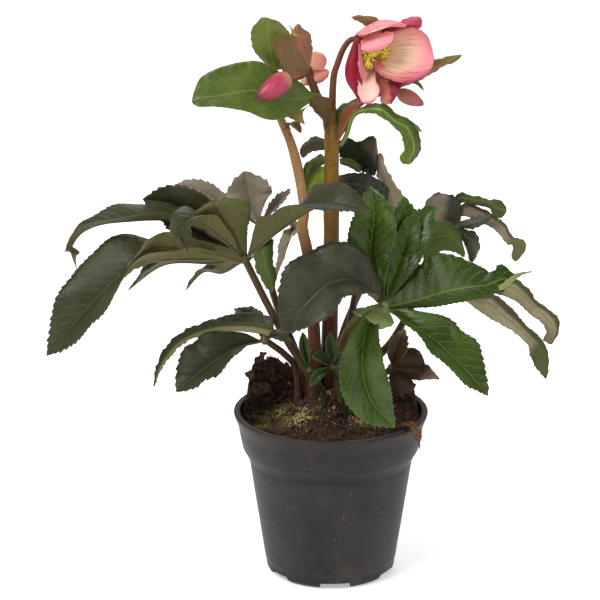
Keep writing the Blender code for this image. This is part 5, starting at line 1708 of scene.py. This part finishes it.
def budFinish(name, colours, length):
    material, tree, shader = newFinish(name, 0.36, Coat_Weight=0.15, Coat_Roughness=0.25)
    along, across = parts(tree, kept(tree, "lay"))[:2]
    spread = calc(tree, "MULTIPLY", across, 2.2)
    slow = calc(tree, "MULTIPLY", along, 0.08)
    fan = put(tree, "ShaderNodeCombineXYZ", {"X": spread, "Y": slow}).outputs[0]
    streak = span(tree, cloud(tree, 1.0, 4, 0.6, fan), 0.4, 0.64)
    run = calc(tree, "DIVIDE", along, length)
    body = blend(tree, span(tree, run, 0.0, 0.36), colours["base"], colours["middle"])
    body = blend(tree, calc(tree, "MULTIPLY", streak, 0.35), body, colours["seam"])
    body = blend(tree, span(tree, run, 0.72, 1.0, 0, 0.9), body, colours["tip"])
    seam = span(tree, across, 9.2, 10, 0, 0.85)
    body = blend(tree, seam, body, colours["seam"])
    tree.links.new(body, shader.inputs["Base Color"])
    relief(tree, shader, streak, 0.12, 0.4)
    return material


def makeBud(name, bud):
    piece = startPiece()
    base, tip = np.array(bud["base"], float), np.array(bud["tip"], float)
    length = float(np.linalg.norm(tip - base))
    turned = np.array(Vector((0, 0, 1)).rotation_difference(Vector(tip - base)).to_matrix())
    rows, sides = 46, 90
    polar = np.linspace(0, math.pi, rows)[:, None]
    around = np.linspace(0, 2 * math.pi, sides, endpoint=False)[None, :]
    along = (1 - np.cos(polar)) / 2
    # five sepals wrap round the bud, each one's edge over the next
    lap = (5 * around / (2 * math.pi) + 0.5 * along + 0.1 * np.sin(3 * along * math.pi + around)) % 1
    swell = 1 + 0.06 * np.sin(math.pi * lap) + 0.045 * lap
    taper = 1 - 0.3 * (2 * along - 1)
    radius = bud["radius"] * taper * np.sin(polar) * swell
    run = along * length
    grid = np.stack(np.broadcast_arrays(radius * np.cos(around), radius * np.sin(around), run), -1)
    grid = base + grid @ turned.T
    lay = np.stack(np.broadcast_arrays(run, lap * 10, 10.0), -1)
    first = addPoints(piece, grid, lay.reshape(-1, 3), 1, 0.5)
    index = first + np.arange(rows * sides).reshape(rows, sides)
    addFaces(piece, gridQuads(np.hstack([index, index[:, :1]])), 0)
    materials = [budFinish(name + " skin", bud["colours"], length)]
    return buildPiece(piece, name + "_grown", materials, [name])


makeSepals()
makeStamens()
makeStyles()
makeHalfOpen()
makeBud("bud_front", budFront)
makeBud("bud_right", budRight)
print("blooms and buds grown")


# Pot. Radii and heights are in mm, down the outer side from the lip.
pot = {
    "wall": [(0, 41.5), (78.7, 53.7), (85.7, 57.7), (101.5, 60.3), (113, 60.8)],
    "floor": 4.5,
    "outside": [
        (61.2, 112.7), (62.0, 113.0), (63.9, 113.0), (64.6, 112.8), (65.0, 112.3), (65.05, 111.6),
        (64.6, 109.8), (63.5, 107.2), (62.6, 104.6), (61.9, 102.2), (61.6, 101.2), (61.5, 99.0),
        (60.6, 94.5), (59.3, 88.2), (58.8, 86.8), (57.8, 85.3), (55.8, 81.4), (55.15, 80.2),
        (54.85, 79.2), (54.65, 78.9), (54.7, 78.5), (54.0, 74.0), (52.4, 63.0), (50.8, 52.5),
        (49.2, 42.0), (47.6, 31.5), (46.0, 21.0), (44.6, 11.6), (44.15, 8.9), (43.9, 8.6), (43.75, 8.2),
    ],
    "corner": (38.8, 4.6),
    "under": [(35.6, 0), (35.3, 0.2), (34.3, 3), (16, 3), (15.1, 0.2), (14.8, 0), (0, 0)],
    "notches": 6, "notchTurn": -86, "notchSize": (20, 20.5, 4.2), "notchCircle": 40, "drainCircle": 24,
    "drainRadius": 4, "sides": 192,
}


def wallRadius(height):
    heights, radii = zip(*pot["wall"])
    return float(np.interp(height, heights, radii))


def roundSolid(name, profile, sides):
    # a closed solid of turned points, the ends of the profile on the axis
    angle = np.linspace(0, 2 * math.pi, sides, endpoint=False)
    made = bmesh.new()
    rings = []
    for radius, height in profile:
        if radius < 0.001:
            rings.append([made.verts.new((0, 0, height * mm))])
        else:
            ring = [(radius * math.cos(a) * mm, radius * math.sin(a) * mm, height * mm) for a in angle]
            rings.append([made.verts.new(point) for point in ring])
    for first, second in zip(rings, rings[1:]):
        for k in range(sides):
            j = (k + 1) % sides
            if len(first) == 1:
                made.faces.new((first[0], second[k], second[j]))
            elif len(second) == 1:
                made.faces.new((first[j], first[k], second[0]))
            else:
                made.faces.new((first[j], first[k], second[k], second[j]))
    bmesh.ops.recalc_face_normals(made, faces=made.faces)
    return addToScene(name, meshFrom(made, name))


potLook = {
    "body": (37, 34, 35), "bodyToo": (46, 42, 43), "step": (14, 12, 13), "dust": (108, 96, 86),
    "speck": (158, 148, 136), "lip": (70, 52, 38), "lipShare": 0.5, "gloss": 0.46,
}


def potFinish():
    material, tree, shader = newFinish("pot plastic", 0.5, Specular_IOR_Level=0.2)
    where = place(tree)
    height = parts(tree, where)[2]
    body = blend(tree, span(tree, cloud(tree, 26, 4), 0.35, 0.7), potLook["body"], potLook["bodyToo"])
    # fine dust, thicker low down, with single specks and a few scuffs
    low = span(tree, height, 0.0, 0.03, 0.3, 0.12)
    haze = calc(tree, "MULTIPLY", span(tree, cloud(tree, 60, 5, 0.7), 0.45, 0.75), low)
    body = blend(tree, haze, body, potLook["dust"])
    speck = span(tree, cells(tree, 260), 0.05, 0.11, 1, 0)
    speck = calc(tree, "MULTIPLY", speck, span(tree, cloud(tree, 45, 3), 0.52, 0.62))
    body = blend(tree, calc(tree, "MULTIPLY", speck, 0.8), body, potLook["speck"])
    # less light reaches the step under the collar
    step = calc(
        tree, "MULTIPLY", span(tree, height, 0.0782, 0.0796), span(tree, height, 0.083, 0.0885, 1, 0)
    )
    body = blend(tree, calc(tree, "MULTIPLY", step, 0.7), body, potLook["step"])
    slanted = drawnOut(tree, where, (1, 1, 0.12), (0.4, 0.3, 0))
    scuff = span(tree, cloud(tree, 300, 2, 0.5, slanted), 0.72, 0.8, 0, 0.1)
    body = blend(tree, scuff, body, potLook["speck"])
    # soil has washed over the lip
    lip = calc(tree, "MULTIPLY_ADD", cloud(tree, 90, 4), 0.012, height)
    lip = calc(tree, "MULTIPLY", span(tree, lip, 0.1145, 0.1205), potLook["lipShare"])
    body = blend(tree, lip, body, potLook["lip"])
    tree.links.new(body, shader.inputs["Base Color"])
    rough = calc(tree, "MULTIPLY_ADD", calc(tree, "ADD", haze, speck), 0.3, potLook["gloss"])
    tree.links.new(rough, shader.inputs["Roughness"])
    grain = calc(tree, "MULTIPLY_ADD", cloud(tree, 22, 2), 2.0, cloud(tree, 1400, 2))
    relief(tree, shader, grain, 0.05, 0.5)
    return material


def makePot():
    inside = [(0, pot["floor"]), (wallRadius(pot["floor"]) - 1.2, pot["floor"])]
    inside.append((wallRadius(pot["floor"]) - 0.3, pot["floor"] + 0.4))
    inside.append((wallRadius(6.5), 6.5))
    inside += [(wallRadius(z), z) for z in (30, 55, 78.7, 80, 85, 87, 95, 101.5, 104, 108, 112)]
    inside.append((60.85, 112.5))
    reach, bend = pot["corner"]
    corner = [
        (reach + bend * math.cos(a), bend * (1 - math.sin(a)))
        for a in (math.pi / 2 * step / 8 for step in range(9))
    ]
    profile = inside + pot["outside"] + corner + pot["under"]
    body = roundSolid("pot_turned", profile, pot["sides"])
    cutters = []
    for k in range(pot["notches"]):
        way = math.radians(pot["notchTurn"] + 60 * k)
        made = bmesh.new()
        bmesh.ops.create_cube(made, size=1)
        size = pot["notchSize"]
        bmesh.ops.scale(made, vec=(size[0] * mm, size[1] * mm, 2 * size[2] * mm), verts=made.verts)
        upright = [e for e in made.edges if abs(e.verts[0].co.z - e.verts[1].co.z) < 1e-6]
        top = [e for e in upright if e.verts[0].co.z > 0]
        long = [e for e in top if abs(e.verts[0].co.y - e.verts[1].co.y) < 1e-6]
        bmesh.ops.bevel(made, geom=long, offset=1.6 * mm, segments=5, affect="EDGES", profile=0.5)
        notch = bpy.data.objects.new("notch", meshFrom(made, "notch"))
        notch.location = Vector((math.cos(way), math.sin(way), 0)) * pot["notchCircle"] * mm
        notch.rotation_euler.z = way
        cutters.append(notch)
        way += math.pi / pot["notches"]
        made = bmesh.new()
        radius = pot["drainRadius"] * mm
        bmesh.ops.create_cone(
            made, cap_ends=True, segments=40, radius1=radius, radius2=radius, depth=20 * mm
        )
        drain = bpy.data.objects.new("drain", meshFrom(made, "drain"))
        drain.location = Vector((math.cos(way), math.sin(way), 0)) * pot["drainCircle"] * mm
        cutters.append(drain)
    work = bpy.data.collections.new("work")
    bpy.context.scene.collection.children.link(work)
    for cutter in cutters:
        work.objects.link(cutter)
    cut = body.modifiers.new("Cut", "BOOLEAN")
    cut.operation = "DIFFERENCE"
    cut.operand_type = "COLLECTION"
    cut.collection = work
    cut.solver = "EXACT"
    bpy.context.view_layer.update()
    mesh = bpy.data.meshes.new_from_object(body.evaluated_get(bpy.context.evaluated_depsgraph_get()))
    body.modifiers.clear()
    body.data = mesh
    for cutter in cutters:
        bpy.data.objects.remove(cutter)
    bpy.data.collections.remove(work)
    mesh.materials.clear()
    mesh.materials.append(potFinish())
    mesh.shade_smooth()
    mesh.set_sharp_from_angle(angle=math.radians(38))
    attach(body, "root")
    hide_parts("pot")
    print("  ", "pot_turned", len(mesh.polygons), "faces")


makePot()
print("pot turned")

# Soil: heaps are x, y, height and reach
soil = {
    "edge": 106,
    "gap": 0.15,  # to the wall of the pot
    "bottom": 4.65,
    "heaps": (
        (-4, 0, 20, 20), (-53, 21, 20, 7), (-40, 28, 27, 9), (54, 15, 18, 8), (-24, 28, 14, 7),
        (-55, 8, 8, 6),
    ),
    "rings": 66,
    "sides": 300,
    "crumbs": 2600,
    "crumbEdge": 58.5,
    "fibres": 260,
    "fibreEdge": 57,
    "looseEdge": 56,
    "moss": (
        (-36, -8, 9), (-47, -22, 8), (-30, -22, 7), (-12, -20, 9), (24, -30, 8), (-44, -8, 7),
        (-30, -2, 7),
    ),
    "grains": (
        (-20, -22, 8, 420), (-4, -6, 6, 120), (17, -22, 7, 220), (-33, -10, 6, 110), (0, -18, 20, 80),
    ),
    "dark": (24, 14, 9),
    "brown": (72, 46, 30),
}


def groundHeight(x, y):
    height = 0.0
    for across, deep, top, reach in soil["heaps"]:
        height += top * math.exp(-((x - across) ** 2 + (y - deep) ** 2) / (2 * reach**2))
    height += 1.1 * math.sin(0.31 * x + 0.9) * math.cos(0.27 * y - 0.4)
    height += 0.8 * math.sin(0.53 * y + 0.22 * x)
    spot = Vector((x, y, height))
    height += 2.2 * noise.noise(spot * 0.14) + 2.4 * abs(noise.noise(spot * 0.3))
    height += 1.5 * abs(noise.noise(spot * 0.62)) + 0.6 * noise.noise(spot * 1.5)
    edge = wallRadius(soil["edge"]) - soil["gap"]
    fade = min(1, (edge - math.hypot(x, y)) / 3)
    return soil["edge"] + fade * height


def soilFinish():
    material, tree, shader = newFinish("peat", 0.9)
    body = blend(tree, span(tree, cloud(tree, 190, 5, 0.7), 0.36, 0.64), soil["dark"], soil["brown"])
    pale = calc(tree, "MULTIPLY", span(tree, cloud(tree, 700, 3, 0.7), 0.6, 0.72), 0.5)
    body = blend(tree, pale, body, (118, 90, 62))
    tree.links.new(body, shader.inputs["Base Color"])
    height = calc(tree, "ADD", cloud(tree, 520, 5, 0.75), calc(tree, "MULTIPLY", cells(tree, 480), 0.7))
    relief(tree, shader, height, 0.9, 0.9)
    return material


def makeSoil():
    piece = startPiece()
    edge = wallRadius(soil["edge"]) - soil["gap"]
    rings, sides = soil["rings"], soil["sides"]
    radii = edge * (np.arange(1, rings + 1) / rings) ** 0.8
    angle = np.linspace(0, 2 * math.pi, sides, endpoint=False)
    grid = np.zeros((rings, sides, 3))
    for i, radius in enumerate(radii):
        for j, a in enumerate(angle):
            x, y = radius * math.cos(a), radius * math.sin(a)
            grid[i, j] = (x, y, groundHeight(x, y))
    heights = (101.5, 95, 87, 84.5, 80, 77.4, 60, 40, 20, 6, soil["bottom"])
    walls = [(wallRadius(z) - soil["gap"], z) for z in heights]
    down = np.array([[(r * math.cos(a), r * math.sin(a), z) for a in angle] for r, z in walls])
    grid = np.concatenate([grid, down])
    rows = len(grid)
    first = addPoints(piece, grid, (0, 0, 1), 1, 0.5)
    index = first + np.arange(rows * sides).reshape(rows, sides)
    addFaces(piece, gridQuads(np.hstack([index, index[:, :1]]), flip=True), 0)
    for row, z, turned in ((0, groundHeight(0, 0), False), (rows - 1, soil["bottom"], True)):
        middle = addPoints(piece, [(0, 0, z)], (0, 0, 1), 1, 0.5)
        fan = np.column_stack([index[row], np.roll(index[row], -1), np.full(sides, middle)])
        addFaces(piece, fan[:, ::-1] if turned else fan, 0)
    return buildPiece(piece, "soil_heaped", [soilFinish()], ["soil"])


def lump(detail):
    made = bmesh.new()
    bmesh.ops.create_icosphere(made, subdivisions=detail, radius=1)
    points = np.array([v.co[:] for v in made.verts])
    faces = np.array([[v.index for v in f.verts] for f in made.faces])
    made.free()
    return points, faces


def somewhere(dice, reach):
    # an even choice of place within a circle
    radius = reach * math.sqrt(dice.random())
    a = dice.random() * 2 * math.pi
    return radius * math.cos(a), radius * math.sin(a), radius


def makeCrumbs():
    dice = random.Random(11)
    piece = startPiece()
    shapes = {1: lump(1), 2: lump(2)}
    for _ in range(soil["crumbs"]):
        x, y, radius = somewhere(dice, soil["crumbEdge"])
        size = min(0.3 + dice.expovariate(1.9), 2.8)
        if radius > 55:
            size = min(size, 1.0)
        points, faces = shapes[2 if size > 0.9 else 1]
        seed = dice.random() * 90
        shift = Vector((seed, 0, 0))
        lumpy = np.array([1 + 0.6 * noise.noise(Vector(p) * 1.3 + shift) for p in points])
        stretch = np.array((1, 0.6 + 0.6 * dice.random(), 0.5 + 0.5 * dice.random()))
        angle = dice.random() * 6.3
        turned = np.array(Matrix.Rotation(angle, 3, Vector((dice.random(), dice.random(), 1))))
        spot = (x, y, groundHeight(x, y) + 0.25 * size)
        grid = (points * lumpy[:, None] * stretch * size) @ turned.T + spot
        first = addPoints(piece, grid, (0, 0, 1), 1, dice.random() ** 1.6)
        addFaces(piece, faces + first, 0)
    for x, y, reach, count in soil["grains"]:
        # pale grains that lie on the soil in drifts
        for _ in range(count):
            px, py = dice.gauss(x, reach * 0.5), dice.gauss(y, reach * 0.5)
            if math.hypot(px, py) > soil["looseEdge"]:
                continue
            points, faces = shapes[1]
            size = 0.28 + 0.6 * dice.random() ** 2
            spot = (px, py, groundHeight(px, py) + 0.3 * size + 0.3)
            grid = points * size * (0.8 + 0.4 * dice.random()) + spot
            first = addPoints(piece, grid, (0, 0, 1), 1, dice.random())
            addFaces(piece, faces + first, 1)
    for x, y, reach in soil["moss"]:
        for _ in range(320):
            px, py = dice.gauss(x, reach * 0.45), dice.gauss(y, reach * 0.45)
            if math.hypot(px, py) > soil["looseEdge"]:
                continue
            z = groundHeight(px, py)
            tall = 0.9 + 1.6 * dice.random()
            lean = np.array((dice.gauss(0, 0.4), dice.gauss(0, 0.4), 1)) * tall
            start = np.array((px, py, z - 0.1))
            corners = [start + 0.34 * np.array((math.cos(a), math.sin(a), 0)) for a in (0.0, 2.1, 4.2)]
            first = addPoints(piece, [*corners, start + lean], (0, 0, 1), 1, dice.random())
            addFaces(piece, np.array(((0, 1, 3), (1, 2, 3), (2, 0, 3))) + first, 2)
    for _ in range(soil["fibres"]):
        x, y, _ = somewhere(dice, soil["fibreEdge"])
        heading = dice.random() * 6.3
        size = 2.5 + 7 * dice.random() ** 2
        route = []
        for step in range(4):
            px = x + size * (step / 3 - 0.5) * math.cos(heading) + dice.gauss(0, 0.5)
            py = y + size * (step / 3 - 0.5) * math.sin(heading) + dice.gauss(0, 0.5)
            shrink = min(1, 57.5 / max(1, math.hypot(px, py)))
            px, py = px * shrink, py * shrink
            route.append((px, py, groundHeight(px, py) + 0.5 + dice.random()))
        thin = 0.12 + 0.22 * dice.random() ** 2
        addTube(piece, route, [thin, thin, 0.6 * thin], 3, dice.random(), 5, 1.4)
    materials = [
        plainFinish("crumbs", (20, 12, 8), (98, 62, 38), 600, 0.9, 0.3),
        plainFinish("pale grains", (140, 112, 70), (204, 180, 132), 600, 0.8, 0.2),
        plainFinish("moss", (56, 62, 12), (140, 138, 44), 300, 0.8, 0.1),
        plainFinish("fibres", (64, 42, 26), (140, 106, 68), 300, 0.8, 0.1),
    ]
    return buildPiece(piece, "soil_litter", materials, [])


# Dark flakes of old leaf on the left heap, and a small shoot that comes up behind it
flakes = {
    "places": (
        (-50, 10, 0), (-44, 12, 3), (-54, 16, 1), (-38, 17, 2), (-47, 20, 6), (-34, 20, 0), (-41, 10, -3),
        (48, 14, 2),
    ),
    "size": 8,
    "shoot": (
        [
            [(-28, 19, 112), (-27, 18.6, 112), (-26, 19, 112)],
            [(-30, 18, 120), (-27.5, 17, 120), (-25, 18, 120)],
            [(-29, 17, 126), (-28, 16.6, 126.5), (-27, 17, 126)],
        ],
        [
            [(-27, 17, 112), (-26, 16.6, 112), (-25, 17, 112)],
            [(-27, 16, 118), (-24.5, 15, 118.5), (-22, 16, 119)],
            [(-24, 14, 122), (-23, 13.6, 123), (-22, 14, 123)],
        ],
    ),
}


def makeFlakes():
    dice = random.Random(17)
    piece = startPiece()
    for number, (x, y, lift) in enumerate(flakes["places"]):
        ground = groundHeight(x, y) + lift
        along = unit((dice.gauss(0, 1), dice.gauss(0, 0.5), dice.gauss(0.2, 0.5)))
        across = unit(np.cross(along, (dice.gauss(0, 0.5), -1, dice.gauss(0.6, 0.4))))
        over = np.cross(along, across)
        size = flakes["size"] * (0.6 + 0.6 * dice.random())
        middle = np.array((x, y - 1.5, ground + 1.5))
        rows = []
        for i in range(4):
            row = []
            for j in range(4):
                spot = middle + along * size * (i / 3 - 0.5) + across * size * (j / 3 - 0.5)
                row.append(spot + over * dice.gauss(0, 0.14 * size))
            rows.append(row)
        addSheet(piece, rows, 0, (x, y - 50, ground + 50), number, 0.4, (16, 16), 0.7, 0.9, dice.random())
    for number, rows in enumerate(flakes["shoot"]):
        addSheet(piece, rows, 1, (-25, -50, 150), number, 0.4, (18, 12), 0.7, 0.1, 0.5)
    materials = [
        plainFinish("dry flakes", (42, 30, 24), (104, 80, 64), 300, 0.85, 0.3, Specular_IOR_Level=0.1),
        plainFinish("small shoot", (104, 112, 24), (168, 170, 62), 200, 0.5),
    ]
    return buildPiece(piece, "soil_flakes", materials, [])


scrap = {
    "width": 9, "face": (0.6, -0.4, 1),
    "route": [
        (41, -29.5, 110.5), (47, -33.5, 114.5), (52.5, -38, 114.8), (56.6, -41, 109.5), (58.4, -42, 100),
    ],
    "form": dict(
        fold=12, toothEvery=2.6, toothDepth=1.2, toothFrom=0.05, wave=0.22, waves=3, quilt=0.8,
        veinEvery=3.2,
    ),
    "look": dict(
        brownBract, upper=(150, 104, 58), upperToo=(104, 68, 40), lower=(110, 80, 50),
        lowerToo=(84, 58, 38), vein=(150, 116, 76), margin=(74, 48, 32), gloss=0.8, underGloss=0.85,
    ),
}


def makeScrap():
    piece = startPiece()
    form = dict(leafletForm, **scrap["form"])
    addBlade(piece, scrap["route"], scrap["width"], scrap["face"], form, 0, 1, 91)
    dice = random.Random(5)
    for k in range(9):
        # torn threads
        start = np.array(scrap["route"][1 + k % 3], float) + (dice.gauss(0, 1.5), dice.gauss(0, 1), 0.4)
        end = start + (dice.gauss(1, 4), -1.5 - 2 * dice.random(), -5 * dice.random() - 1)
        middle = 0.5 * (start + end) + (dice.gauss(0, 1.5), -1.2, 2)
        addTube(piece, [start, middle, end], [0.3, 0.2, 0.12], 1, dice.random(), 6, 1)
    materials = [
        bladeFinish("dry scrap", scrap["look"], form),
        plainFinish("dry threads", (98, 70, 44), (140, 106, 70), 400, 0.8),
    ]
    return buildPiece(piece, "dry_scrap_curled", materials, ["dry_scrap"])


makeSoil()
makeCrumbs()
makeFlakes()
makeScrap()
print("soil and scraps laid")
